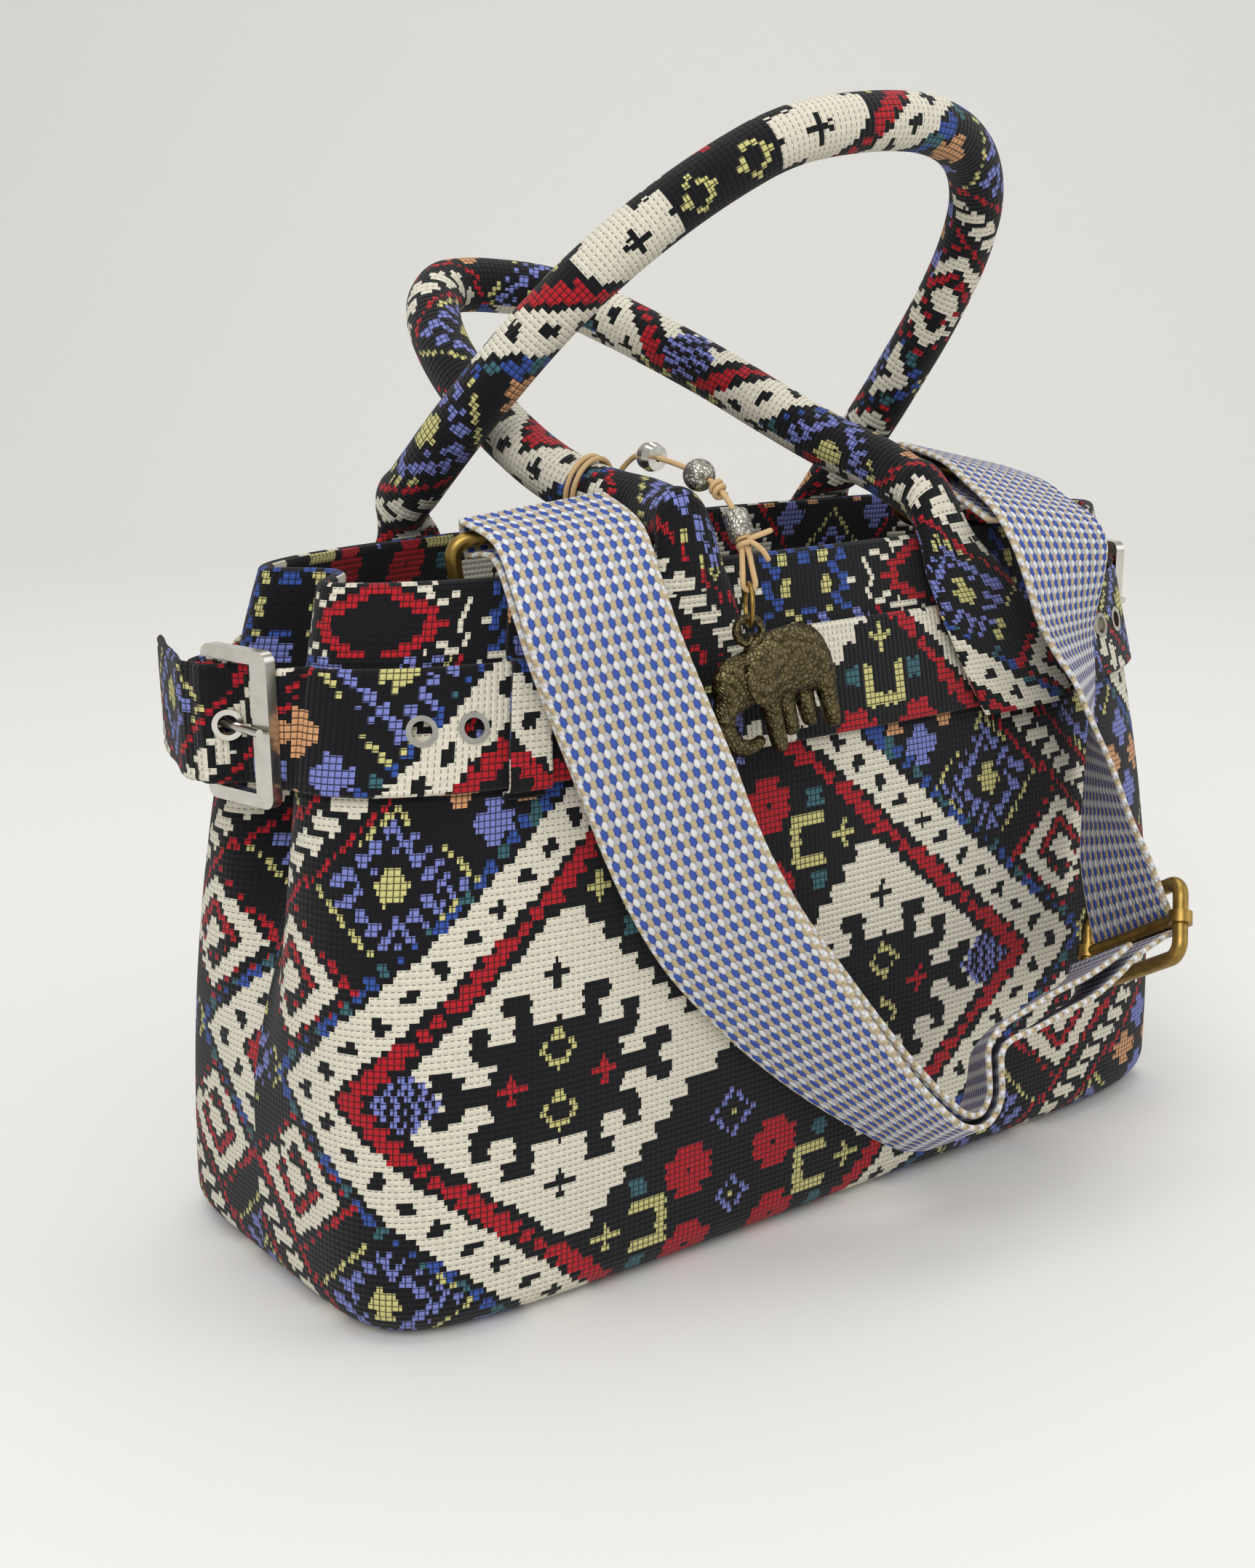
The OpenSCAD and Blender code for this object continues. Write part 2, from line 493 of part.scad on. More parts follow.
module shoulder_strap() color("#8fa0c8") {
    p = [for (r = strap_rows) r[0]];
    ts = tangents(p);
    skin([for (i = [0 : len(p) - 1]) let (w = strap_rows[i][1], v = unit(cross(ts[i], w)) * strap_t / 2)
        [p[i] - v, p[i] + w * strap_w - v, p[i] + w * strap_w + v, p[i] + v]]);
}

// A frame whose x axis is along w, at p: for the rings and the slider
module along_bar(p, w, roll) translate(p) rotate([0, 0, atan2(w[1], w[0])])
    rotate([0, -asin(w[2]), 0]) rotate([roll, 0, 0]) children();
// A rounded rectangular ring of round wire, with its top bar along x from the origin
ring_corner = 6;
module wire_ring(inner_w, inner_h, r) {
    w = inner_w + 2 * r;
    h = inner_h + 2 * r;
    c = ring_corner;
    for (y = [0, -h]) translate([c - r, 0, y]) rotate([0, 90, 0]) cylinder(r = r, h = w - 2 * c);
    for (x = [-r, w - r]) translate([x, 0, c - h]) cylinder(r = r, h = h - 2 * c);
    for (q = [[c - r, -c, 90], [w - r - c, -c, 0], [c - r, c - h, 180], [w - r - c, c - h, 270]])
        translate([q[0], 0, q[1]]) rotate([90, 0, 0]) rotate([0, 0, q[2]])
            rotate_extrude(angle = 90) translate([c, 0]) circle(r);
}
ring_gap = 2;
ring_w = strap_w + 2 * ring_gap;
left_roll = 0;
right_roll = -40;
module strap_ring(at, w, roll) color("#a8893f") along_bar(at - w * ring_gap, w, roll)
    wire_ring(ring_w, ring_in_h, ring_wire_r);
module left_strap_ring() strap_ring(left_bar, left_w, left_roll);
module right_strap_ring() strap_ring(right_bar, right_w, right_roll);

// A ring's tab is a strip folded round the ring's lower bar, with its ends on the rim facing
ring_tab_w = 40;
ring_tab_t = 1.6;
tab_sew_h = 22;
tab_free = 16;
// Steps across a tab, which follows the hollow side of the front where it is sewn on
tab_across = [-1 : 0.5 : 1];
function lower_bar(at, w, roll) = let (e = level_dir(w), f = cross(e, w), h = ring_in_h + 2 * ring_wire_r)
    at + w * (ring_w / 2 - ring_gap) - (f * cos(roll) + e * sin(roll)) * h;
module ring_tab(at, w, roll, t) color("#30303a") {
    c = lower_bar(at, w, roll);
    u = w * (w[0] > 0 ? 1 : -1);
    e = level_dir(u);
    f = cross(e, u);
    r = ring_wire_r + bar_play / 4;
    sew = inside_off - lining_t - 2 * layer_gap;
    sew_top = c[2] - tab_free;
    half_t = ring_tab_w / 2 / half_w(belt_z);
    foot = [for (z = [sew_top - tab_sew_h, sew_top]) [for (n = [0 : 3])
        let (off = sew - floor(n / 2) * layer_gap - ceil(n / 2) * ring_tab_t)
        [for (k = tab_across) wall_pt(t + k * half_t, z, off)]]];
    loop = [for (a = [150 : -60 : -150]) [for (q = [r, r + ring_tab_t])
        [for (k = tab_across) c + (f * cos(a) + e * sin(a)) * q + u * k * ring_tab_w / 2]]];
    skin(concat([for (i = [0, 1]) concat(foot[i][0], backwards(foot[i][1]))],
        [for (l = loop) concat(l[1], backwards(l[0]))],
        [for (i = [1, 0]) concat(foot[i][3], backwards(foot[i][2]))]));
}
module left_ring_tab() ring_tab(left_bar, left_w, left_roll, -0.58);
module right_ring_tab() ring_tab(right_bar, right_w, right_roll, 0.58);

// The slider is a rod frame round the webbing with a separate middle bar, whose ends clasp its legs
slider_roll = 20;
slider_frame_w = strap_w + 4;
clasp_r = slider_rod_r + 1.6;
module slider_frame() color("#b39548") along_bar(slider_at - slider_w * 2, slider_w, slider_roll)
    translate([0, 0, slider_reach]) wire_ring(slider_frame_w, 2 * (slider_reach - slider_rod_r), slider_rod_r);
module slider_bar() color("#b39548") along_bar(slider_at - slider_w * 2, slider_w, slider_roll) {
    rotate([0, 90, 0]) cylinder(r = slider_rod_r - 0.4, h = slider_frame_w);
    for (x = [-slider_rod_r, slider_frame_w + slider_rod_r]) translate([x, 0, 0]) difference() {
        cylinder(r = clasp_r, h = 5, center = true);
        cylinder(r = slider_rod_r + 0.05, h = 8, center = true);
    }
}

// The charm hangs on a waxed cord, wound twice round the front handle's left leg
wind_at = placed([-69, -19, 274.3]);
wind_axis = unit([-5, 17, 4]);
wind_r = handle_d / 2 + cord_r + 0.8;
wind_pitch = 3;
cord_path = [[-60, -36, 288], [-59, -48, 287], [-58, -60, 285], [-57, -74, 281], [-57, -85, 273],
    [-58, -92, 263], [-59, -95, 256]];
cord_drop = [for (i = [0 : len(cord_path) - 1]) cord_path[i] + rim_rise + bulge * i / len(cord_path)];
// The wire ring's top, its turn in plan, and the hitch by which the cord's end holds it
ring_top = [-59, -96, 249.5] + rim_rise + bulge;
ring_turn = 60;
hitch_r = charm_wire_r + cord_r + 0.3;
hitch_pitch = 3;
hitch = let (n = [sin(ring_turn), -cos(ring_turn), 0], d = [cos(ring_turn), sin(ring_turn), 0])
    [for (a = [80 : -40 : -240]) ring_top + (n * cos(a) + [0, 0, sin(a)]) * hitch_r
        + d * hitch_pitch * (80 - a) / 360];
module charm_cord() color("#c9aa78") {
    e = unit(cross(wind_axis, [0, 0, 1]));
    f = cross(e, wind_axis);
    wind = [for (a = [-60 : 30 : 780]) wind_at + (e * cos(a) + f * sin(a)) * wind_r
        - wind_axis * wind_pitch * (a / 360 - 1)];
    p = concat(wind, cord_drop, hitch);
    ts = tangents(p);
    us = carried(ts, unit(cross(ts[0], wind_axis)));
    skin([for (i = [0 : len(p) - 1]) let (v = cross(ts[i], us[i]))
        [for (a = [0 : 45 : 315]) p[i] + (us[i] * cos(a) + v * sin(a)) * cord_r]]);
}
// Beads on the cord: each is turned about the cord's line at its place
bead_bore = cord_r + 0.3;
module on_cord(i) {
    d = unit(cord_drop[i + 1] - cord_drop[i]);
    translate((cord_drop[i] + cord_drop[i + 1]) / 2) rotate([0, acos(d[2]), atan2(d[1], d[0])]) children();
}
module bell_bead() color("#c9c9c6") on_cord(0) rotate_extrude()
    polygon([[bead_bore, -4], [3.2, -4], [4.6, -2], [5.2, 1], [4.4, 4], [bead_bore, 4.4]]);
module filigree_bead() color("#b0aca0") on_cord(2) difference() {
    sphere(5.6);
    cylinder(r = bead_bore, h = 20, center = true);
}
module cylinder_bead() color("#b5b5b5") on_cord(4) rotate_extrude()
    polygon([[bead_bore, -5], [3.8, -5], [4.4, -4.4], [4.4, 4.4], [3.8, 5], [bead_bore, 5]]);
// The wire ring hangs in the cord's hitch, and the elephant's bail hangs in the ring
ring_hang = ring_top - [0, 0, charm_ring_r];
module charm_ring() color("#a8893f") translate(ring_hang) rotate([90, 0, ring_turn]) rotate_extrude()
    translate([charm_ring_r, 0]) circle(charm_wire_r);
bail_r = 4.4;
bail_wire = 1.4;
bail_at = ring_hang + [0, 0, -charm_ring_r - bail_r + bail_wire + charm_wire_r + 0.3];
elephant_tilt = -18;
module elephant() color("#4a4230") translate(bail_at) {
    rotate([90, 0, ring_turn - 90]) rotate_extrude() translate([bail_r, 0]) circle(bail_wire);
    rotate([0, 0, -8]) rotate([90, elephant_tilt, 0]) translate([0, 0, -elephant_t / 2])
        linear_extrude(elephant_t) elephant_outline();
}
// Side view of a standing elephant, head to the left, trunk curled, drawn below its bail
module elephant_outline() {
    translate([5, -17]) circle(13.5);
    translate([14, -19]) circle(12.5);
    translate([-10, -16]) circle(9.5);
    for (i = [0 : 10]) let (a = 120 + 17 * i)
        translate([-10 + 9 * cos(a), -29 + 10 * sin(a)]) circle(4.4 - 0.2 * i);
    for (leg = [[-4.5, 7.5, 45], [5, 6.5, 42], [13.5, 6.5, 42], [20, 6.5, 45]])
        translate([leg[0], -leg[2]]) square([leg[1], leg[2] - 18]);
    translate([-2.5, -5]) square([5, 4]);
}

front_panel();
back_panel();
base_board();
lining();
rim_facing();
front_belt();
back_belt();
left_eyelets();
right_eyelets();
left_belt_loop();
right_belt_loop();
left_buckle_frame();
right_buckle_frame();
left_prong();
right_prong();
front_handle();
back_handle();
left_ring_tab();
right_ring_tab();
left_strap_ring();
right_strap_ring();
shoulder_strap();
slider_frame();
slider_bar();
charm_cord();
bell_bead();
filigree_bead();
cylinder_bead();
charm_ring();
elephant();
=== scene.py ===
"""Fabric handbag in its own frame: cloth surfaces worked out from the same sizes as the solids, with the
woven pattern drawn by formula. Lengths are in millimetres up to the meshes, which are in metres."""
import math
import bmesh
import bpy
import numpy as np
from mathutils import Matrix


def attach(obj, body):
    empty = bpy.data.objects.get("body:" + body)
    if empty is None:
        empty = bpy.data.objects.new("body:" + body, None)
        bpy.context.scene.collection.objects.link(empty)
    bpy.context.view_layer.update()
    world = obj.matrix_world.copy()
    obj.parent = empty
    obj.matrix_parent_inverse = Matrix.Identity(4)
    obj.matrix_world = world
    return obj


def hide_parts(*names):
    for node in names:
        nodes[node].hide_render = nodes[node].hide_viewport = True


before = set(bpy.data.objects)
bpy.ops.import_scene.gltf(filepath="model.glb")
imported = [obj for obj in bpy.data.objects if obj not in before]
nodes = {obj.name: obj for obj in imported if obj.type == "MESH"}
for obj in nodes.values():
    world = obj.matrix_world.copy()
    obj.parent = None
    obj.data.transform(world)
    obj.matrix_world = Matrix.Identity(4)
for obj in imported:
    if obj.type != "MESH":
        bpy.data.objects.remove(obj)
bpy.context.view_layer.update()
METRE = 1000

# Sizes of the solids
BASE_W, BASE_D = 408, 176
RIM_W, RIM_D = 386, 118
BAG_H = 252
RIM_FORWARD = 9
EDGE_R = 14
BELLY = 5
SIDE_FOLD, FOLD_W = 24, 15
WALL, GAP, FACING_T = 3, 0.3, 1.2
BELT_LO, BELT_HI, BELT_T = 188, 228, 2.6
BELT_Z = (BELT_LO + BELT_HI) / 2
BELT_GAP = 1.5
HOLDER_T = 1.8
HANDLE_R = 10.5
STRAP_W, STRAP_T = 52, 2.2
CORD_R = 1.0

# Shape of the wall: plan exponents at the floor and the rim, powers by which its sizes change with height,
# and the shares of the height over which the side fold deepens
PLAN_LOW, PLAN_HIGH = 6.5, 2.6
WIDTH_POWER, DEPTH_POWER, PLAN_POWER = 1.3, 1.6, 0.8
FOLD_FROM, FOLD_RISE = 0.25, 0.5
SLOPE_STEP = 0.02

# Steps at which curves are measured: between two keys, and round half of the wall
KEY_STEPS, GIRTH_STEPS = 40, 4001

# Cloth: one cell of the weave, the length after which a thread's end strays another way, and how far the
# tone changes
CELL_W, CELL_H = 2.25, 2.2
FRAY_RUN = 9
TONE = 0.05


def unit(v):
    """Vectors of length one."""
    return v / np.linalg.norm(v, axis=-1, keepdims=True)


def linear(hex_colour, alpha=1.0):
    """An sRGB hex colour as linear red, green and blue, with an alpha."""
    c = np.array([int(hex_colour[i:i + 2], 16) / 255 for i in (1, 3, 5)])
    return (*np.where(c <= 0.04045, c / 12.92, ((c + 0.055) / 1.055) ** 2.4), alpha)


# Curves
def travelled(points):
    """The length of a path from its first point to each point."""
    return np.concatenate([[0], np.cumsum(np.linalg.norm(np.diff(points, axis=0), axis=1))])


def past_ends(keys):
    """Keys with one more at each end, mirrored about the end key."""
    return np.concatenate([2 * keys[:1] - keys[1:2], keys, 2 * keys[-1:] - keys[-2:-1]])


def catmull(b, c, d, e, s):
    """The Catmull-Rom cubic from c to d at shares s, with b before them and e after."""
    bend, twist = 2 * b - 5 * c + 4 * d - e, 3 * c - b - 3 * d + e
    return 0.5 * (2 * c + (d - b) * s + bend * s ** 2 + twist * s ** 3)


def smooth_path(points, step):
    """A Catmull-Rom curve through rows of numbers, taken at equal steps of the length of its first three
    columns, and that length at each row."""
    p = np.array(points, float)
    a = past_ends(p)
    s = np.linspace(0, 1, KEY_STEPS, endpoint=False)[:, None]
    fine = np.vstack([catmull(*a[i:i + 4], s) for i in range(len(p) - 1)] + [p[-1:]])
    length = travelled(fine[:, :3])
    ticks = np.linspace(0, length[-1], max(2, int(round(length[-1] / step))) + 1)
    return np.stack([np.interp(ticks, length, column) for column in fine.T], -1), ticks


def rings(keys, step):
    """Rows of points through key rows: a Catmull-Rom curve for each point, with as many rows between two key
    rows as the distance of their middles holds steps."""
    a = past_ends(keys)
    out = []
    for i in range(len(keys) - 1):
        n = max(1, int(round(np.linalg.norm(keys[i + 1].mean(0) - keys[i].mean(0)) / step)))
        out.append(catmull(*a[i:i + 4], (np.arange(n) / n)[:, None, None]))
    return np.concatenate(out + [keys[-1:]])


def oval(c, u, v, w, h, e, n):
    """Rings of n points: superellipses about c with half sizes w and h along u and v, round where e is 1."""
    a = np.linspace(0, 2 * math.pi, n, endpoint=False)[:, None]
    ca, sa = np.cos(a), np.sin(a)
    return c + u * w * np.sign(ca) * abs(ca) ** e + v * h * np.sign(sa) * abs(sa) ** e


def round_rings(path, radius, sides, first):
    """Round rings along a path. Their cross direction starts as first and is carried along the path by
    removing its part along the path at each point, so that the tube doesn't twist."""
    tangent = unit(np.gradient(path, axis=0))
    cross, u = [], np.array(first, float)
    for way in tangent:
        u = unit(u - way * (way @ u))
        cross.append(u)
    cross = np.array(cross)
    return oval(path[:, None], cross[:, None], np.cross(tangent, cross)[:, None], radius, radius, 1, sides)


def lengths(points):
    """For a grid of closed rings: the distance along it from its first row, the distance round each ring from
    its first point, and the length of each side."""
    side = np.linalg.norm(np.roll(points, -1, axis=1) - points, axis=2)
    return travelled(points.mean(1))[:, None] + 0 * side, np.cumsum(side, axis=1) - side, side


# Wall of the bag
def half_width(q):
    """Half the wall's width at a share q of its height."""
    return BASE_W / 2 + (RIM_W - BASE_W) / 2 * q ** WIDTH_POWER + BELLY * np.sin(np.pi * q)


def face(t, z):
    """The outer wall at place t (0 front middle, 2 right seam, 4 back middle) and height z: a superellipse
    plan that gets rounder and narrower towards the rim and leans to the front, with a bell-shaped inward fold
    at each side."""
    t, z = np.broadcast_arrays(np.asarray(t, float), np.asarray(z, float))
    w = np.where(t > 4, t - 8, t)
    m = np.abs(w)
    dx = np.where(m <= 1, w, np.where(m <= 3, np.sign(w), np.sign(w) * (4 - m)))
    dy = np.where(m <= 1, -1, np.where(m <= 3, m - 2, 1))
    q = np.clip(z / BAG_H, 0, 1)
    half_d = BASE_D / 2 + (RIM_D - BASE_D) / 2 * q ** DEPTH_POWER + BELLY * np.sin(np.pi * q)
    n = PLAN_LOW + (PLAN_HIGH - PLAN_LOW) * q ** PLAN_POWER
    r = (np.abs(dx) ** n + np.abs(dy) ** n) ** (-1 / n)
    y = half_d * dy * r
    c = np.clip((q - FOLD_FROM) / FOLD_RISE, 0, 1)
    dent = SIDE_FOLD * c * c * (3 - 2 * c) * np.exp(-(y / FOLD_W) ** 2)
    return np.stack([half_width(q) * dx * r - np.sign(dx) * dent, y - RIM_FORWARD * q, z + 0 * t], -1)


def along_wall(t, z):
    """The level direction in which the wall runs on at place t."""
    return unit(face(t + SLOPE_STEP, z) - face(t - SLOPE_STEP, z))


def wall(t, z, off):
    """The wall moved outwards by off along its plan normal, and inwards at the soft bottom edge, by as
    much as a quarter circle of that edge's radius."""
    t, z, off = np.broadcast_arrays(*(np.asarray(k, float) for k in (t, z, off)))
    a = along_wall(t, z)
    out = np.stack([a[..., 1], -a[..., 0], 0 * a[..., 0]], -1)
    low = np.clip(z, 0, EDGE_R)
    inset = EDGE_R - np.sqrt(EDGE_R ** 2 - (EDGE_R - low) ** 2)
    return face(t, z) + out * (off - inset)[..., None]


def girth(middle, step, z):
    """Places on half of the wall about a middle that lie step apart along it at height z, and their distance
    from that middle."""
    fine = np.linspace(middle - 2, middle + 2, GIRTH_STEPS)
    length = travelled(face(fine, z))
    ticks = np.linspace(0, length[-1], int(round(length[-1] / step)) + 1)
    return np.interp(ticks, length, fine), ticks - np.interp(middle, fine, length)


# Woven colours, each with its kind of thread as alpha: black ground, ivory ground or coloured thread
BLACK, IVORY, RED, YELLOW, PERIWINKLE, BLUE, PEACH, TEAL = range(8)
THREADS = ["#131317", "#e2dcca", "#be1e2a", "#d3cd86", "#8088cf", "#3857a8", "#dba273", "#3f6d76"]
IVORY_KIND, COLOUR_KIND = 0.2, 0.6
KINDS = [0.0, IVORY_KIND] + [COLOUR_KIND] * 6
PALETTE = np.array([linear(h, kind) for h, kind in zip(THREADS, KINDS)])

# Pattern of the cloth, in cells: half its repeat and the slope of its diamonds
HALF_I, HALF_J = 118, 104
SLOPE = 58 / 66

# Black lozenges: their height above a diamond's middle, and their motifs' places from their own middle
FLOWERS_UP = 29
BLOCK_OUT, BLOCK_UP = 9, 7
FLOWER_RINGS = (0, 15)
CRESCENT_OUT, CRESCENT_END = 18, 21
TEAL_OUT, FLOWER_CROSS_OUT = 19, 25

# Ivory lozenges: their distance from a diamond's middle, the star's oval, its tips, and the motifs on it
STAR_OUT = 33
STAR_W, STAR_H, STAR_TOP = 12, 10, 17
STAR_TIPS = ((6, 11, 1, 2), (7, 13, 2, 1), (11, 6, 2, 1), (13, 8, 1, 2), (15, 0, 3, 1), (19, 3, 1, 1),
             (17, 2, 1, 1))
RED_CROSS_OUT, YELLOW_RING_UP = 8, 5
END_DIAMOND_OUT, END_DIAMOND_HALF = 24, 5
LOZENGE_STEP, LOZENGE_HALF, LOZENGE_END = 3, 27, 57

# Lines round a diamond, by their distance from its middle, and the dots on the ivory one
RED_LINE, IVORY_LINE, BLUE_LINE, BLUE_LINE_END = 55, 61.5, 71, 76
RED_STEPS, BLUE_STEPS = (56, 59), (71.5, 74)
DOTS_OUT, DOT_HALF, DOT_EVERY, DOT_LONG = 66, 1.6, 8, 3

# Band between the diamonds: its motifs' places along and across it, its edge's dots and its middle's dashes
BAND_FROM, MOTIF_HALF = 73.6, 12.4
SMALL_DIAMONDS, DIAMOND_OUT = (20, -36, 84, -92), 85
CROSSES, HOOKS, CROSS_OUT = (-8, -64), (52, 112), 86
CROSS_ARM = 6
CHECKS_END, YELLOW_EDGE = 10, 11
HOOK_RING, HOOK_MIDDLE, HOOK_OPENING = (6.5, 10), 3, 2
TAIL_HALF_W, TAIL_END = 1.6, 8
HOOK_CHECKS = (10.6, 12.4), (4, 5.6)
EDGE_DOTS, EDGE_DASHES = (97, 99), 101
DASH_EVERY, DASH_LONG = 6, 4

# Rim band, in cells: half its repeat, its lozenges' half sizes, how far out as shares of these the red and
# the dashes lie, and the columns of its dots and of the gap in them
RIM_HALF_I, RIM_LOZENGE_W, RIM_LOZENGE_H = 29, 11, 6.5
RIM_RED, RIM_DASHES = (0.72, 1.05), (1.25, 1.75)
RIM_DOTS, RIM_GAP, RIM_GAP_HALF_H = 20, 26, 3


def within(v, low, high):
    """Cells whose value lies from low up to high."""
    return (v >= low) & (v < high)


def plus(x, y, r, w):
    """Cells of an upright cross with arms r long and 2 w + 1 wide."""
    return ((abs(x) <= w) & (abs(y) <= r)) | ((abs(x) <= r) & (abs(y) <= w))


def square(x, y):
    """Number of the square ring about a middle in which a cell lies."""
    return np.maximum(abs(x), abs(y))


def checks(x, y):
    """Cells of a checkerboard of squares of two by two."""
    return (x // 2 + y // 2) % 2 == 0


def flowers(x, y, even):
    """A black lozenge from its middle: red blocks with a black eye, dotted rings with a yellow eye, a yellow
    crescent, teal squares and a yellow cross."""
    up = abs(y)
    block_x, block_y = x - BLOCK_OUT, up - BLOCK_UP
    c = np.where(plus(block_x, block_y, 4, 2) & ~plus(block_x, block_y, 0, 0), RED, BLACK)
    for ring_up in FLOWER_RINGS:
        ring = x + abs(up - ring_up)
        c = np.where(within(ring, 3, 5) & even, PERIWINKLE, c)
        c = np.where(ring == 0, YELLOW, c)
    c = np.where(within(square(x - CRESCENT_OUT, y), 3, 5) & (x < CRESCENT_END), YELLOW, c)
    c = np.where(square(x - TEAL_OUT, block_y) <= 1, TEAL, c)
    return np.where(plus(x - FLOWER_CROSS_OUT, y, 2, 0), YELLOW, c)


def star(x, y, even):
    """An ivory lozenge from its middle: a black star, which is an oval with stepped tips, with red crosses
    and yellow rings on it, and a dotted diamond at the lozenge's outer end."""
    ax, ay = abs(x), abs(y)
    black = (ax / STAR_W) ** 2 + (ay / STAR_H) ** 2 <= 1
    for px, py, rx, ry in STAR_TIPS:
        black |= (abs(ax - px) <= rx) & (abs(ay - py) <= ry)
    black |= plus(ax, ay - STAR_TOP, 2, 0)
    c = np.where(black, BLACK, IVORY)
    c = np.where(plus(ax - RED_CROSS_OUT, ay, 2, 0), RED, c)
    c = np.where(within(ax * SLOPE + abs(ay - YELLOW_RING_UP), 2, 3.2) & (ay > 1), YELLOW, c)
    at_end = abs(x - END_DIAMOND_OUT) * SLOPE + ay <= END_DIAMOND_HALF
    return np.where(at_end, np.where(even, PERIWINKLE, BLACK), c)


def upright_cells(u, v):
    """Upright cell numbers from distances along and across the slanting band."""
    return np.round((u + v) / 2 / SLOPE), np.round((v - u) / 2)


def small_diamond(u, v, even):
    """A checked diamond with a yellow cross on black, and a black and a dotted yellow line round it."""
    box = square(u, v)
    x, y = upright_cells(u, v)
    c = np.where(checks(x, y), PERIWINKLE, BLACK)
    c = np.where(plus(x, y, 2, 1), YELLOW, np.where(plus(x, y, 4, 2), BLACK, c))
    c = np.where(box > CHECKS_END, BLACK, c)
    return np.where((box > YELLOW_EDGE) & even, YELLOW, c)


def hook(u, v, check):
    """An ivory square hook on black: a ring open on one side, a middle with a tail through the opening, and
    red checks inside and outside the ring."""
    q = square(u, v)
    opening = (u > 0) & (abs(v) <= HOOK_OPENING)
    tail = (u > 0) & (abs(v) <= TAIL_HALF_W) & (u <= TAIL_END)
    c = np.where((within(q, *HOOK_RING) & ~opening) | (q <= HOOK_MIDDLE) | tail, IVORY, BLACK)
    return np.where((within(q, *HOOK_CHECKS[0]) | within(q, *HOOK_CHECKS[1])) & check, RED, c)


def jacquard(i, j):
    """Thread of each cell (column i, row j) of a kilim-like cloth. Large stepped diamonds repeat on a centred
    lattice. Each has two ivory lozenges with a star and two black ones with flowers inside, and a red line, a
    dotted ivory band and a blue line round it. A black band with small diamonds, crosses and square hooks
    runs between the diamonds."""
    i, j = np.broadcast_arrays(np.asarray(i), np.asarray(j))
    x = np.abs((i + HALF_I) % (2 * HALF_I) - HALF_I)
    y = np.abs((j + HALF_J) % (2 * HALF_J) - HALF_J)
    far = x * SLOPE + y > HALF_J
    x, y = np.where(far, HALF_I - x, x), np.where(far, HALF_J - y, y)
    # d counts out from the diamond's middle, m along its side, and step counts like d but by two cells
    d, m = x * SLOPE + y, x * SLOPE - y
    step = x // 2 * 2 * SLOPE + y // 2 * 2
    even = (x + y) % 2 == 0
    c = flowers(x, y - FLOWERS_UP, even)
    ax, ay = abs(x - STAR_OUT) // LOZENGE_STEP, y // LOZENGE_STEP
    lozenge = ax * LOZENGE_STEP * SLOPE + ay * LOZENGE_STEP < LOZENGE_HALF
    c = np.where(lozenge & (d < LOZENGE_END), star(x - STAR_OUT, y, even), c)
    c = np.where(within(d, RED_LINE, IVORY_LINE), np.where(within(step, *RED_STEPS), RED, BLACK), c)
    dots = (abs(d - DOTS_OUT) <= DOT_HALF) & (np.floor(m) % DOT_EVERY < DOT_LONG)
    c = np.where(within(d, IVORY_LINE, BLUE_LINE), np.where(dots, BLACK, IVORY), c)
    c = np.where(within(d, BLUE_LINE, BLUE_LINE_END), BLACK, c)
    c = np.where(within(step, *BLUE_STEPS), np.where(x // 2 % 3 == 0, TEAL, BLUE), c)
    band = d >= BAND_FROM
    for along in SMALL_DIAMONDS:
        u, v = m - along, d - DIAMOND_OUT
        c = np.where(band & (square(u, v) <= MOTIF_HALF), small_diamond(u, v, even), c)
    for along in CROSSES:
        px, py = upright_cells(m - along, d - CROSS_OUT)
        for side in (-CROSS_ARM, CROSS_ARM):
            c = np.where(band & plus(px - side, py, 3, 1), PEACH, c)
        for side in (-CROSS_ARM, CROSS_ARM):
            c = np.where(band & plus(px, py - side, 3, 1), PERIWINKLE, c)
    for along in HOOKS:
        u, v = m - along, d - CROSS_OUT
        c = np.where(band & (square(u, v) <= MOTIF_HALF), hook(u, v, checks(x, y)), c)
    c = np.where(within(d, *EDGE_DOTS) & even, RED, c)
    dashes = np.floor(m) % DASH_EVERY < DASH_LONG
    return np.where(d >= EDGE_DASHES, np.where(dashes, IVORY, BLACK), c)


def rim_band(i, j):
    """Thread of each cell of the band above the belt: red stepped lozenges on black, with ivory dashes round
    them, and blue and yellow dots between them."""
    i, j = np.broadcast_arrays(np.asarray(i), np.asarray(j))
    x, y = abs((i + RIM_HALF_I) % (2 * RIM_HALF_I) - RIM_HALF_I), abs(j)
    far = x // 2 * 2 / RIM_LOZENGE_W + y / RIM_LOZENGE_H
    c = np.where(within(far, *RIM_DASHES) & ((x // 3 + y // 2) % 2 == 0), IVORY, BLACK)
    c = np.where(within(far, *RIM_RED), RED, c)
    c = np.where((x >= RIM_DOTS) & checks(x, y), np.where(x // 2 % 3 == 0, YELLOW, BLUE), c)
    return np.where((x >= RIM_GAP) & (y <= RIM_GAP_HALF_H), BLACK, c)


def fray(row, place):
    """How far threads' ends stray from their cells, from -1 to 1: a sine of a sum with large factors, so that
    it jumps with each row and run."""
    return np.sin(row * 91.7 + np.floor(place / FRAY_RUN) * 47.3)


def woven(thread, i, j):
    """Colours of cells: the thread's colour, its tone changed from cell to cell by a product of waves with
    large factors, and the thread's kind as alpha."""
    colour = PALETTE[thread].copy()
    tone = 1 + TONE * np.sin(i * 12.9898 + j * 78.233) * np.cos(i * 3.7 + j * 1.3)
    colour[..., :3] *= tone[..., None]
    return colour


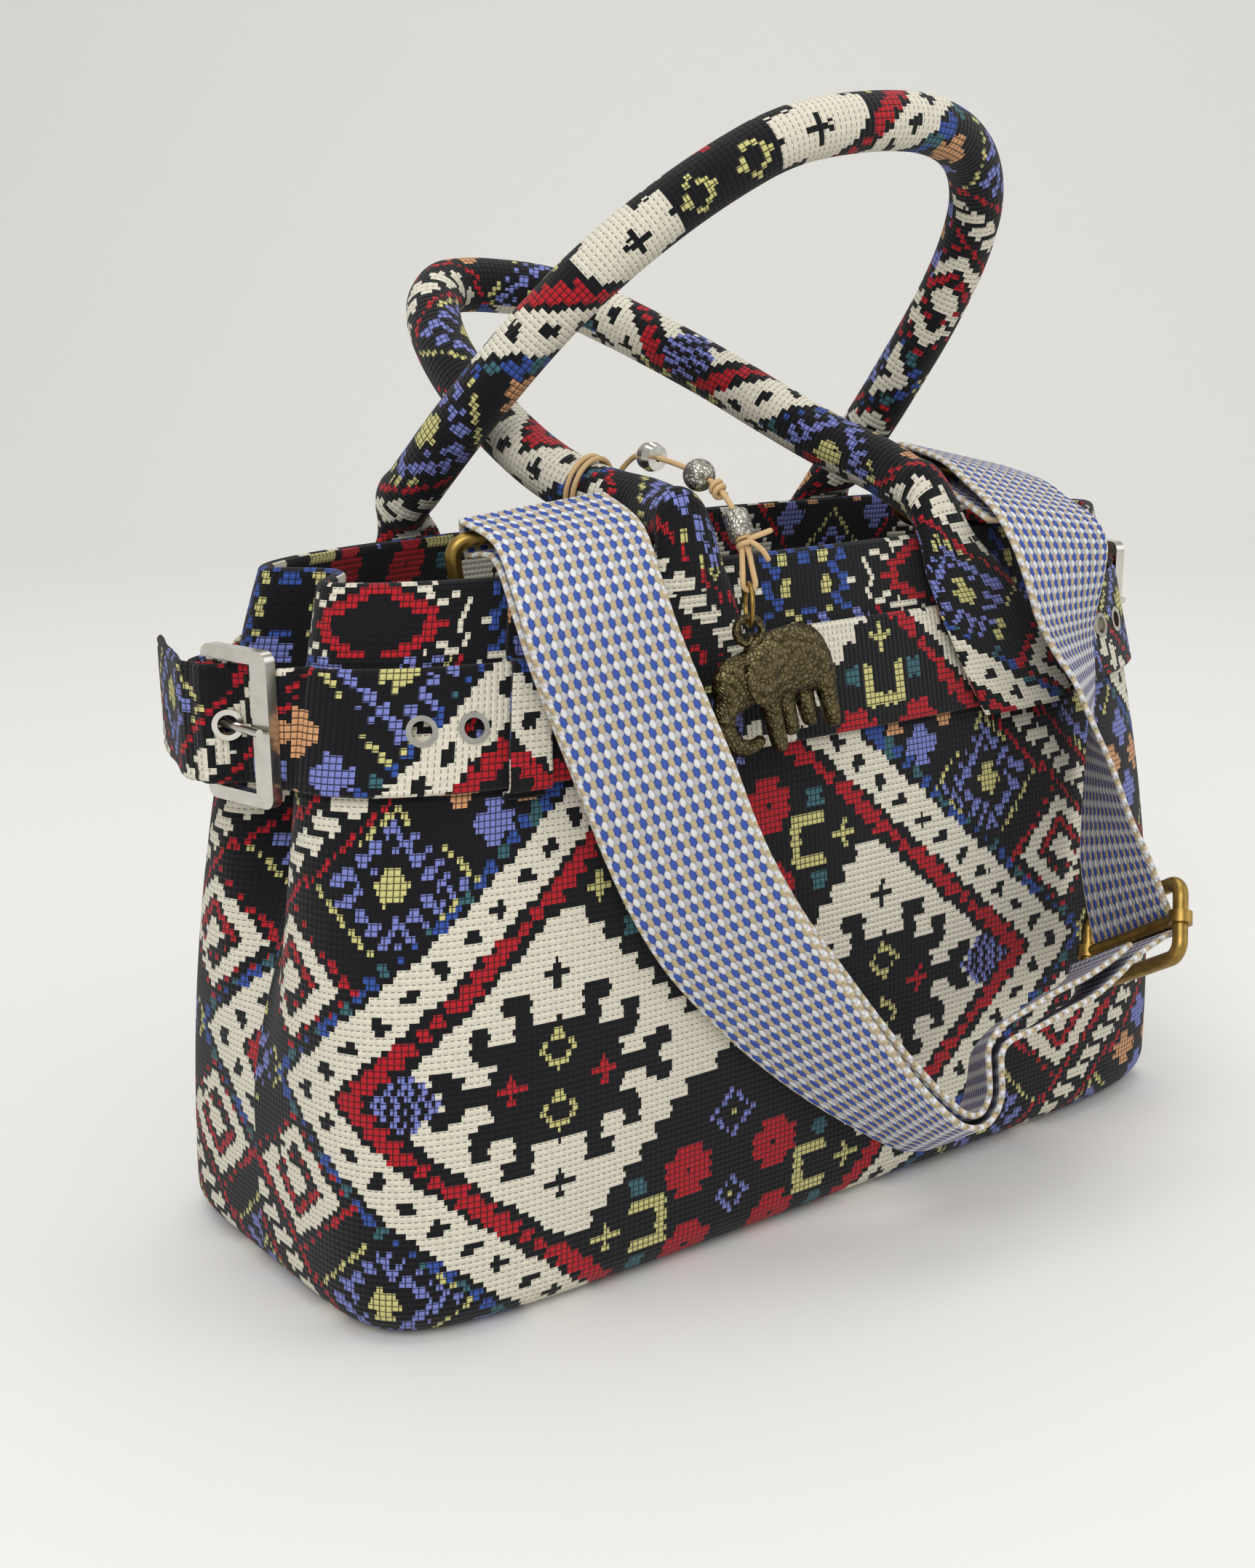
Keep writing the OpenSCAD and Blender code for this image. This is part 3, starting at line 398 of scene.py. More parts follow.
# Meshes
def put_in_scene(name, points, faces):
    """A smooth mesh object from points and lists of point numbers."""
    mesh = bpy.data.meshes.new(name)
    mesh.from_pydata((points.reshape(-1, 3) / METRE).tolist(), [], faces)
    mesh.polygons.foreach_set("use_smooth", np.ones(len(faces), bool))
    piece = bpy.data.objects.new(name, mesh)
    bpy.context.scene.collection.objects.link(piece)
    return piece


def grid_faces(rows, cols, closed):
    """Row and column of each cell of a grid of points, and its four point numbers. closed says which way the
    grid joins itself."""
    r, c = np.meshgrid(np.arange(rows - (not closed[0])), np.arange(cols - (not closed[1])), indexing="ij")
    r2, c2 = (r + 1) % rows, (c + 1) % cols
    quads = np.stack([r * cols + c, r * cols + c2, r2 * cols + c2, r2 * cols + c], -1)
    return r, c, quads.reshape(-1, 4)


def surface(name, points, colours, uv, tube=False):
    """A piece from a grid of points, with one colour for each cell. uv holds the places on the cloth
    across and along, and the size of a cell there. A tube joins its rows into rings and has a face at each
    end."""
    rows, cols = points.shape[:2]
    r, c, quads = grid_faces(rows, cols, (False, tube))
    u, v, du, dv = (np.broadcast_to(k, (rows, cols))[r, c] for k in uv)
    corner_u, corner_v = np.stack([u, u + du, u + du, u], -1), np.stack([v, v, v + dv, v + dv], -1)
    corner_uv = np.stack([corner_u.ravel(), corner_v.ravel()], -1)
    tint = np.repeat(colours[r, c].reshape(-1, 4), 4, axis=0)
    faces = quads.tolist()
    if tube:
        faces += [list(range(cols - 1, -1, -1)), list(range((rows - 1) * cols, rows * cols))]
        corner_uv = np.vstack([corner_uv, np.zeros((2 * cols, 2))])
        tint = np.vstack([tint, np.repeat(colours[0, :1], 2 * cols, axis=0)])
    piece = put_in_scene(name, points, faces)
    layer = piece.data.uv_layers.new(name="cloth")
    layer.data.foreach_set("uv", corner_uv.astype(np.float32).ravel())
    attribute = piece.data.color_attributes.new("weave", "FLOAT_COLOR", "CORNER")
    attribute.data.foreach_set("color", tint.astype(np.float32).ravel())
    if tube:
        # the sign of the volume tells whether the faces look inwards
        spin = np.cross((points - points.mean((0, 1)))[:-1], np.diff(points, axis=0))[:, :-1]
        if (spin * np.diff(points, axis=1)[:-1]).sum() > 0:
            piece.data.flip_normals()
    return piece


def coat(piece, material):
    """Gives a piece its only material."""
    piece.data.materials.clear()
    piece.data.materials.append(material)


def dress(piece, material, body, slot_name, *replaced):
    """Gives a piece its material and its body, and hides the solids it stands for; slot_name is not used."""
    coat(piece, material)
    if replaced:
        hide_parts(*replaced)
    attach(piece, body)
    return piece


# Materials
def plug(tree, node, inputs):
    """Gives inputs of a node, by name or in their order, a value, or links them to an output."""
    for key, value in inputs.items() if isinstance(inputs, dict) else enumerate(inputs):
        if isinstance(value, bpy.types.NodeSocket):
            tree.links.new(value, node.inputs[key])
        else:
            node.inputs[key].default_value = value


def add(tree, kind, inputs=(), **settings):
    """Adds a node with its settings, values and links, and gives its outputs."""
    node = tree.nodes.new("ShaderNode" + kind)
    for key, value in settings.items():
        setattr(node, key, value)
    plug(tree, node, inputs)
    return node.outputs


def shader(name):
    """A new material, its tree and its surface shader."""
    material = bpy.data.materials.new(name)
    material.use_nodes = True
    return material, material.node_tree, material.node_tree.nodes["Principled BSDF"]


# Sizes of the materials' patterns: eleven flecks of fuzz in 5 mm, fibres of 0.25 mm, patches of 6.25 mm,
# fourteen scales in 25 mm, scrolls 5.2 mm apart and nine grains in 10 mm; fibres and grains are coarser
# than the real ones
FUZZ_MM, FIBRE_MM = 5 / 11, 0.25
PATCH_MM, SCALE_MM, SCROLL_MM, GRAIN_MM = 6.25, 25 / 14, 5.236, 10 / 9
WAVE_UNIT = math.pi / 10

# Mix node: places of its factor, its two colours and its result
FACTOR, FIRST, SECOND, MIXED = 0, 6, 7, 2


def cloth_material(name):
    """Cotton jacquard, woven: matt, in the thread colour of each cell. Ribs along it and picks across it are
    sines, shaken by a noise. Painted shade darkens the gaps at their low places: dots on ivory, a net on the
    coloured threads. The same waves and noise make the bump."""
    material, tree, bsdf = shader(name)
    weave = add(tree, "Attribute", attribute_name="weave")
    uv = add(tree, "UVMap", uv_map="cloth")[0]
    place = add(tree, "SeparateXYZ", [uv])
    fuzz = add(tree, "TexNoise", {"Vector": uv, "Scale": 1 / FUZZ_MM, "Detail": 3})[0]
    shake = add(tree, "Math", [fuzz, 0.9, -0.45], operation="MULTIPLY_ADD")[0]
    waves = []
    for distance, cell in ((place[1], CELL_H), (place[0], CELL_W)):
        turn = add(tree, "Math", [distance, 2 * math.pi / cell, shake], operation="MULTIPLY_ADD")[0]
        waves.append(add(tree, "Math", [turn], operation="SINE")[0])
    rib, pick = waves
    is_ivory = add(tree, "Math", [weave["Alpha"], IVORY_KIND, 0.08], operation="COMPARE")[0]
    least_colour = (IVORY_KIND + COLOUR_KIND) / 2
    is_colour = add(tree, "Math", [weave["Alpha"], least_colour], operation="GREATER_THAN")[0]
    groove = add(tree, "MapRange", [rib, -1, -0.7, 1, 0])[0]
    gap = add(tree, "MapRange", [pick, -1, -0.6, 1, 0])[0]
    on_pick = add(tree, "Math", [pick, -0.3], operation="GREATER_THAN")[0]
    dots = add(tree, "Math", [groove, on_pick], operation="MULTIPLY")[0]
    net = add(tree, "Math", [groove, gap], operation="MAXIMUM")[0]
    # painted shade in the gaps between threads: dots on ivory, a net on the coloured threads
    painted_gap_shades = []
    for gaps, chosen, depth in ((dots, is_ivory, 0.72), (net, is_colour, 0.95)):
        part = add(tree, "Math", [gaps, chosen], operation="MULTIPLY")[0]
        painted_gap_shades.append(add(tree, "Math", [part, depth], operation="MULTIPLY")[0])
    dark = add(tree, "Math", painted_gap_shades, operation="MAXIMUM")[0]
    # painted shade: the gaps are mixed towards near black
    ends = {FACTOR: dark, FIRST: weave["Color"], SECOND: linear("#1a1a1c")}
    mixed = add(tree, "Mix", ends, data_type="RGBA")[MIXED]
    shade = add(tree, "MapRange", [fuzz, 0.3, 0.7, 0.82, 1.12])[0]
    both = {FACTOR: 1, FIRST: mixed, SECOND: shade}
    toned = add(tree, "Mix", both, data_type="RGBA", blend_type="MULTIPLY")[MIXED]
    high = add(tree, "Math", [pick, 0.22], operation="MULTIPLY")[0]
    high = add(tree, "Math", [rib, 0.5, high], operation="MULTIPLY_ADD")[0]
    high = add(tree, "Math", [fuzz, 1.6, high], operation="MULTIPLY_ADD")[0]
    bump = add(tree, "Bump", {"Strength": 0.55, "Distance": 0.0006, "Height": high})[0]
    plug(tree, bsdf, {"Base Color": toned, "Normal": bump, "Roughness": 0.92,
                      "Specular IOR Level": 0.18, "Sheen Weight": 0.12})
    return material


# Webbing: its repeat across and along, the width of its edge braid, and each thread's colour, middle and half
# sizes as shares of the repeat
WEB_ACROSS, WEB_ALONG = 4.5, 5.4
BRAID_W = 1.5
WEB_THREADS = (("#3f58a6", 0.0, 0.0, 0.31, 0.39), ("#bdac8c", 0.45, 0.0, 0.28, 0.35),
               ("#b9b8bd", 0.26, 0.5, 0.26, 0.34), ("#dedee0", 0.7, 0.5, 0.26, 0.34))
BRAID_COLOURS = "#c4b393", "#dedee0"


def webbing_material(name):
    """Cotton webbing, woven of thick threads: matt, beady, in four colours. Each thread is an oval in the
    repeat, and each place takes the colour of the oval that is nearest, with painted shade that darkens it
    away from that oval, where it also lies lower. Two colours take turns along both edges."""
    material, tree, bsdf = shader(name)
    uv = add(tree, "UVMap", uv_map="cloth")[0]
    place = add(tree, "SeparateXYZ", [uv])
    nearest, colour = None, None
    for hex_colour, across, along, half_w, half_l in WEB_THREADS:
        aside = []
        for distance, repeat, middle, half in ((place[0], WEB_ACROSS, across, half_w),
                                               (place[1], WEB_ALONG, along, half_l)):
            turns = add(tree, "Math", [distance, 1 / repeat, 0.5 - middle], operation="MULTIPLY_ADD")[0]
            share = add(tree, "Math", [turns], operation="FRACT")[0]
            aside.append(add(tree, "Math", [share, 1 / half, -0.5 / half], operation="MULTIPLY_ADD")[0])
        far = add(tree, "Math", [aside[0], aside[0]], operation="MULTIPLY")[0]
        far = add(tree, "Math", [aside[1], aside[1], far], operation="MULTIPLY_ADD")[0]
        far = add(tree, "Math", [far], operation="SQRT")[0]
        if nearest is None:
            nearest, colour = far, linear(hex_colour)
            continue
        closer = add(tree, "Math", [far, nearest], operation="LESS_THAN")[0]
        ends = {FACTOR: closer, FIRST: colour, SECOND: linear(hex_colour)}
        colour = add(tree, "Mix", ends, data_type="RGBA")[MIXED]
        nearest = add(tree, "Math", [nearest, far], operation="MINIMUM")[0]
    turns = add(tree, "Math", [place[1], WEB_ALONG], operation="DIVIDE")[0]
    share = add(tree, "Math", [turns], operation="FRACT")[0]
    second = add(tree, "Math", [share, 0.5], operation="GREATER_THAN")[0]
    ends = {FACTOR: second, FIRST: linear(BRAID_COLOURS[0]), SECOND: linear(BRAID_COLOURS[1])}
    braid = add(tree, "Mix", ends, data_type="RGBA")[MIXED]
    aside = add(tree, "Math", [place[0], STRAP_W / 2], operation="SUBTRACT")[0]
    aside = add(tree, "Math", [aside], operation="ABSOLUTE")[0]
    at_edge = add(tree, "Math", [aside, STRAP_W / 2 - BRAID_W], operation="GREATER_THAN")[0]
    edged = add(tree, "Mix", {FACTOR: at_edge, FIRST: colour, SECOND: braid}, data_type="RGBA")[MIXED]
    fibre = add(tree, "TexNoise", {"Vector": uv, "Scale": 1 / FIBRE_MM, "Detail": 2})[0]
    # painted shade: darker away from the nearest thread's middle, on its sides and in the gaps between
    # threads
    shade = add(tree, "MapRange", [nearest, 0.6, 1.2, 1, 0.36])[0]
    both = {FACTOR: 1, FIRST: edged, SECOND: shade}
    toned = add(tree, "Mix", both, data_type="RGBA", blend_type="MULTIPLY")[MIXED]
    low = add(tree, "Math", [nearest, nearest], operation="MULTIPLY")[0]
    high = add(tree, "Math", [fibre, 0.4], operation="MULTIPLY")[0]
    high = add(tree, "Math", [high, low], operation="SUBTRACT")[0]
    bump = add(tree, "Bump", {"Strength": 0.6, "Distance": 0.0007, "Height": high})[0]
    plug(tree, bsdf, {"Base Color": toned, "Normal": bump, "Roughness": 0.85, "Specular IOR Level": 0.25})
    return material


def metal_material(name, bright, dull, roughness, wear):
    """Bare metal: bright, with clouds of a duller tone, which a noise mixes in and which are slightly
    uneven."""
    material, tree, bsdf = shader(name)
    place = add(tree, "TexCoord")["Object"]
    patches = add(tree, "TexNoise", {"Vector": place, "Scale": METRE / PATCH_MM, "Detail": 4})[0]
    share = add(tree, "MapRange", [patches, 0.4, 0.7, 0, wear])[0]
    ends = {FACTOR: share, FIRST: linear(bright), SECOND: linear(dull)}
    mixed = add(tree, "Mix", ends, data_type="RGBA")[MIXED]
    bump = add(tree, "Bump", {"Strength": 0.12, "Distance": 0.0004, "Height": patches})[0]
    plug(tree, bsdf, {"Base Color": mixed, "Normal": bump, "Metallic": 1, "Roughness": roughness})
    return material


def engraved_material(name, bright, dark, roughness):
    """Cast metal engraved all over: scale-like cells with dark grooves between them, which are the edges of a
    cell pattern, and broad scrolls, which are shaken rings."""
    material, tree, bsdf = shader(name)
    place = add(tree, "TexCoord")["Object"]
    rings_seen = {"Vector": place, "Scale": METRE * WAVE_UNIT / SCROLL_MM, "Distortion": 14, "Detail": 1,
                  "Detail Scale": 1.2}
    scroll = add(tree, "TexWave", rings_seen, wave_type="RINGS")[1]
    cells = {"Vector": place, "Scale": METRE / SCALE_MM}
    edge = add(tree, "TexVoronoi", cells, feature="DISTANCE_TO_EDGE")[0]
    scales = add(tree, "MapRange", [edge, 0.02, 0.22, 0, 0.7])[0]
    high = add(tree, "Math", [scroll, 0.3, scales], operation="MULTIPLY_ADD")[0]
    share = add(tree, "MapRange", [high, 0.05, 0.9, 0, 1])[0]
    ends = {FACTOR: share, FIRST: linear(dark), SECOND: linear(bright)}
    mixed = add(tree, "Mix", ends, data_type="RGBA")[MIXED]
    bump = add(tree, "Bump", {"Strength": 0.6, "Distance": 0.0004, "Height": high})[0]
    plug(tree, bsdf, {"Base Color": mixed, "Normal": bump, "Metallic": 1, "Roughness": roughness})
    return material


def plain_material(name, colour, roughness):
    """One plain colour with a fine grain, which is a noise in the bump."""
    material, tree, bsdf = shader(name)
    place = add(tree, "TexCoord")["Object"]
    grain = add(tree, "TexNoise", {"Vector": place, "Scale": METRE / GRAIN_MM, "Detail": 2})[0]
    bump = add(tree, "Bump", {"Strength": 0.3, "Distance": 0.0003, "Height": grain})[0]
    plug(tree, bsdf, {"Base Color": linear(colour), "Normal": bump, "Roughness": roughness})
    return material


cloth = cloth_material("jacquard")
web = webbing_material("webbing")
# Nickel-plated steel, polished: bright and nearly clear in its reflections
nickel = metal_material("nickel", "#d6d3cb", "#aaa69d", 0.2, 0.35)
# Brass wire, left to age: dull gold with brown clouds
brass = metal_material("aged_brass", "#a8894a", "#76612f", 0.36, 0.7)
# Brass, cast and darkened: brown, with paler worn heights
engraved = engraved_material("dark_brass", "#746a4c", "#37311f", 0.36)
# Silver beads, chased: pale scales with grey grooves
chased = engraved_material("chased_silver", "#cfcbc0", "#6a675f", 0.34)
# Cotton twill, dyed: nearly black, without shine
lining = plain_material("lining", "#1b1b20", 0.95)
# Board, pressed: pale brown and matt
board = plain_material("board", "#a58f68", 0.9)
# Cotton cord, waxed: tan with a low gloss
waxed = plain_material("waxed_cord", "#c9a878", 0.55)


# Body
GIRTH_Z = 90
PATTERN_LEFT, PATTERN_Z = 60, 85
BACK_SHIFT = 60
RIM_LOZENGE_T = 1.32
PANEL_FRAY, TUBE_FRAY = 0.42, 0.4
STITCH, STITCH_DARK = 1.3, 0.25
FLOOR_ROWS, ROLL_ROWS, ROLL_RISE = 8, 6, 0.9
RIPPLE_H, RIPPLE_L, RIPPLE_BEAT = 0.7, 23, 57
FINE_RIPPLE_H, FINE_RIPPLE_L = 0.5, 9


def cell_number(place, size, stray=0):
    """Number of the cell in which a place lies, cell 0 being about zero."""
    return np.floor(place / size + 0.5 + stray).astype(int)


def panel(name, middle, replaced, shift):
    """Half of the body, all of one cloth: rows of the floor, which are the bottom edge drawn in to the
    middle, of the wall, with ripples that grow towards the rim, of a rim rolled in a half circle, and of
    the facing."""
    t, s = girth(middle, CELL_W / 2, GIRTH_Z)
    half = (WALL + GAP + FACING_T) / 2
    q = np.linspace(0, 1, FLOOR_ROWS, endpoint=False)[:, None]
    floor = wall(t, 0, 0) * np.stack([0 * q + 1, q, q], -1)
    up = np.arange(0, BAG_H, CELL_H)[:, None]
    ripple = RIPPLE_H * np.sin(s / RIPPLE_L + 1.3) * np.sin(s / RIPPLE_BEAT)
    ripple = ripple + FINE_RIPPLE_H * np.sin(s / FINE_RIPPLE_L + 2)
    upright = wall(t, up, (up / BAG_H) ** 2 * (1 - (up / BAG_H) ** 8) * ripple)
    turn = np.linspace(0, math.pi, ROLL_ROWS + 2)[1:-1, None]
    roll = wall(t, BAG_H, half * (np.cos(turn) - 1))
    roll[..., 2] += half * ROLL_RISE * np.sin(turn)
    down = np.arange(BAG_H, BELT_LO + 1, -CELL_H)[:, None]
    facing = wall(t, down, -2 * half)
    points = np.concatenate([floor, upright, roll, facing])
    height = np.concatenate([(q - 1) * BASE_D / 2, up, BAG_H + half * turn,
                             2 * BAG_H - down + half * math.pi])
    row = np.floor((height - PATTERN_Z) / CELL_H).astype(int)
    stray = PANEL_FRAY * fray(row, s)
    col = cell_number(s + PATTERN_LEFT + shift, CELL_W, stray)
    colours = woven(jacquard(col, row), col, row)
    lozenge = cell_number(s - np.interp(middle - RIM_LOZENGE_T, t, s), CELL_W, stray)
    above = cell_number(height - (BELT_HI + BAG_H) / 2, CELL_H)
    at_rim = (height > BELT_HI + 1) & (height < BAG_H + 5)
    colours = np.where(at_rim[..., None], woven(rim_band(lozenge, above), col, row), colours)
    piece = surface(name, points, colours, (s, height, CELL_W / 2, CELL_H))
    return dress(piece, cloth, "bag", "woven_cloth", *replaced)


panel("front_cloth", 0, ("front_panel", "rim_facing"), 0)
panel("back_cloth", 4, ("back_panel",), BACK_SHIFT)


def cloth_tube(name, points, zero, anchor, cell, replaced, seam=None):
    """A closed piece of the same cloth, with its ribs across it. Cell columns run round it from the point
    number zero, and rows run along it, so that the given cell lies nearest to the anchor. seam is the
    point number of a line of dark stitches."""
    along, around, side = lengths(points)
    around = around - around[:, zero:zero + 1]
    start = along[np.linalg.norm(points.mean(1) - np.array(anchor), axis=1).argmin(), 0]
    j = np.floor((along - start) / CELL_H + cell[1]).astype(int)
    i = np.floor(around / CELL_W + cell[0] + TUBE_FRAY * fray(j, around)).astype(int)
    colours = woven(jacquard(i, j), i, j)
    if seam is not None:
        stitch = np.floor(along[:, seam] / STITCH) % 3 > 0
        colours[stitch, seam, :3] *= STITCH_DARK
    step = np.diff(along[:, 0], append=along[-1, 0] + 1)[:, None]
    piece = surface(name, points, colours, (around, along, side, step), True)
    return dress(piece, cloth, "bag", "woven_cloth", *replaced)


# Handles: their routes, and the wall's places at the lower and upper end of the left and the right tab
RING_STEP, ROUTE_STEP = 1.1, 12
HANDLE_SIDES, HANDLE_ZERO, HANDLE_SEAM = 60, 45, 8
TAB_Z, TAB_H, TAB_ROWS = 186, 68, np.array([0, 0.3, 0.6, 0.8, 1])
TAB_W, TAB_NARROWS, TAB_ROUND = 27, 13, 0.8
TAB_HALF_T, TAB_THICKENS, TAB_OVER_RIM = 2.5, 2, 0.6
OVER_BELT, OVER_BACK_BELT = 5.6, 3.2
FRONT_ROUTE = [(-66, -68, 267), (-63, -47, 270), (-66, -29, 272), (-71, -12, 276), (-74, 6, 283),
               (-75, 27, 293), (-76, 47, 305), (-75, 66, 319), (-69, 84, 332), (-56, 97, 342),
               (-34, 97, 343), (-10, 86, 339), (7, 64, 328), (24, 30, 311), (34, 8, 299), (45, -17, 286),
               (51, -40, 278), (53, -65, 268)]
BACK_ROUTE = [(-108, 47, 266), (-106, 33, 279), (-101, 20, 294), (-92, 7, 312), (-80, -4, 330),
              (-66, -14, 347), (-48, -24, 364), (-25, -34, 381), (2, -42, 395), (35, -46, 401),
              (67, -46, 401), (92, -41, 393), (108, -32, 377), (115, -19, 356), (114, -6, 333),
              (111, 8, 311), (109, 25, 288), (109, 45, 266)]
FRONT_TABS, BACK_TABS = (-0.42, -0.35, 0.47, 0.30), (-3.42, -3.42, 3.42, 3.42)


def tab(low, high, turn, lift):
    """Rings of a sewn tab, from its lower end up: flat ovals on the wall, which narrow, thicken and come down
    from lift with the cube of the height, and stand straight up above the rim. turn is the sign of its width
    direction."""
    z, t, k = TAB_Z + TAB_H * TAB_ROWS, low + (high - low) * TAB_ROWS, TAB_ROWS ** 3
    half = TAB_HALF_T + TAB_THICKENS * k
    a = along_wall(t, z) * turn[0]
    c = wall(t, np.minimum(z, BAG_H), lift * (1 - k) + TAB_OVER_RIM * k + half)
    c[:, 2] += np.maximum(0, z - BAG_H)
    width, thick = (TAB_W - TAB_NARROWS * k)[:, None, None], half[:, None, None]
    b = np.cross([0, 0, turn[1]], a)
    return oval(c[:, None], a[:, None], b[:, None], width, thick, TAB_ROUND, HANDLE_SIDES)


def handle(name, node, route, places, lift, facing, anchor, cell):
    """A rolled tube along a route that opens into a flat tab at each end, sewn on over the belt. facing is
    1 at the front and -1 at the back."""
    path = smooth_path(route, ROUTE_STEP)[0]
    first = tab(places[0], places[1], (facing, 1), lift)
    last = tab(places[2], places[3], (-facing, -1), lift)
    tube = round_rings(path, HANDLE_R, HANDLE_SIDES, [1, 0, 0])
    points = rings(np.concatenate([first, tube, last[::-1]]), RING_STEP)
    return cloth_tube(name, points, HANDLE_ZERO, anchor, cell, (node,), HANDLE_SEAM)


front_handle = handle("front_handle_cloth", "front_handle", FRONT_ROUTE, FRONT_TABS, OVER_BELT, 1,
                      (21, 37, 314), (55, 0))
back_handle = handle("back_handle_cloth", "back_handle", BACK_ROUTE, BACK_TABS, OVER_BACK_BELT, -1,
                     BACK_ROUTE[7], (37, 0))


# Belt: the left buckle's middle and plan directions along and out of it, its pin, and the levels of the
# layers that pass it
EDGE_X = -half_width(BELT_Z / BAG_H)
BUCKLE_OUT, BUCKLE_Y, BUCKLE_TURN = 11, -18.0, math.radians(-76)
BUCKLE_C = np.array([EDGE_X - BUCKLE_OUT, BUCKLE_Y])
BUCKLE_U = np.array([math.cos(BUCKLE_TURN), math.sin(BUCKLE_TURN)])
BUCKLE_N = np.array([BUCKLE_U[1], -BUCKLE_U[0]])
PIN_U, PIN_R, FRAME_HALF_T = -13.0, 2.2, 2
HOLDER_N = PIN_R + GAP + HOLDER_T / 2
OVER_N, UNDER_N = HOLDER_N + HOLDER_T / 2 + GAP + BELT_T / 2, -FRAME_HALF_T - GAP - BELT_T / 2
STEP_AT, STEP_HALF = -5.2, 4.2
BAND_REACH, BAND_PLACES, BAND_STEP, BAND_POINTS, BAND_ZERO = 1.6, 90, 1.125, 37, 18
STITCH_IN, STITCH_W, STITCH_DEEP = 3.2, 0.7, 0.35
EDGE_SOFT, EDGE_THIN = 1.2, 0.25
EYELET_R, PRONG_HOLE_R, PIERCE_DEPTH = 4.3, 4.6, 4
EYELET_FLATS = ((1 / 2, 2 / 3), (5 / 6, 1), (1, 1.2))


def by_buckle(u, n):
    """A plan point u along the left buckle from its middle and n out of it."""
    return BUCKLE_C + BUCKLE_U * u + BUCKLE_N * n


def band(left, middle, thick):
    """A closed band between the belt's edges: free plan points on the left, the wall about middle, and the
    same points mirrored on the right. Its section has edges rounded by a square root and a bell-shaped
    groove for the stitches near both."""
    t = middle + np.linspace(-BAND_REACH, BAND_REACH, BAND_PLACES)
    low, high = (wall(t, z, BELT_GAP + thick / 2)[:, :2] for z in (BELT_LO, BELT_HI))
    free = np.array(left)[::-1] * np.array([1 if middle == 0 else -1, 1])
    mirrored = free[::-1] * np.array([-1, 1])
    low, high = np.vstack([free, low, mirrored]), np.vstack([free, high, mirrored])
    path = smooth_path(np.column_stack([low, 0 * low[:, 0], high]), BAND_STEP)[0]
    d = unit(np.gradient(path[:, :2], axis=0))
    out = np.stack([d[:, 1], -d[:, 0]], -1)
    share = np.linspace(0, 1, BAND_POINTS)
    inward = np.minimum(share, 1 - share) * (BELT_HI - BELT_LO)
    groove = STITCH_DEEP * np.exp(-((inward - STITCH_IN) / STITCH_W) ** 2)
    level = thick / 2 * (EDGE_THIN + (1 - EDGE_THIN) * np.clip(inward / EDGE_SOFT, 0, 1) ** 0.5)
    level = np.concatenate([level - groove, -level[::-1]])[:, None]
    share = np.concatenate([share, share[::-1]])[:, None]
    plan = path[:, None, :2] * (1 - share) + path[:, None, 3:] * share + out[:, None] * level
    height = np.broadcast_to(BELT_LO + (BELT_HI - BELT_LO) * share, (*plan.shape[:2], 1))
    return np.concatenate([plan, height], -1)


def pierced(piece, places, radius):
    """Cuts the faces of a piece whose middles lie within radius of lines, each given as a middle and a unit
    direction."""
    mesh = piece.data
    centre = np.zeros(len(mesh.polygons) * 3)
    mesh.polygons.foreach_get("center", centre)
    centre = centre.reshape(-1, 3) * METRE
    gone = np.zeros(len(centre), bool)
    for middle, way in places:
        v = centre - middle
        depth = v @ way
        gone |= (np.linalg.norm(v - depth[:, None] * way, axis=1) < radius) & (abs(depth) < PIERCE_DEPTH)
    work = bmesh.new()
    work.from_mesh(mesh)
    work.faces.ensure_lookup_table()
    bmesh.ops.delete(work, geom=[work.faces[k] for k in np.flatnonzero(gone)], context="FACES")
    work.to_mesh(mesh)
    work.free()


def eyelet_lines():
    """Middles and directions of the eyelets: three on flats of each half of the belt, square to the middle
    lines of the flat, and one on its step in the buckle, square to the step."""
    lines = []
    step = by_buckle(STEP_AT - STEP_HALF, OVER_N) - by_buckle(STEP_AT + STEP_HALF, UNDER_N)
    step_way = unit(np.array([step[1], -step[0], 0.0]))
    step_middle = np.append(by_buckle(STEP_AT, (UNDER_N + OVER_N) / 2), BELT_Z)
    for side in (-1, 1):
        for flat in EYELET_FLATS:
            q = np.array([wall(side * t, z, BELT_GAP + BELT_T / 2) for t in flat for z in (BELT_LO, BELT_HI)])
            lines.append((q.mean(0), unit(np.cross(q[2] + q[3] - q[0] - q[1], q[1] + q[3] - q[0] - q[2]))))
        mirror = np.array([-side, 1, 1])
        lines.append((step_middle * mirror, step_way * mirror))
    return lines


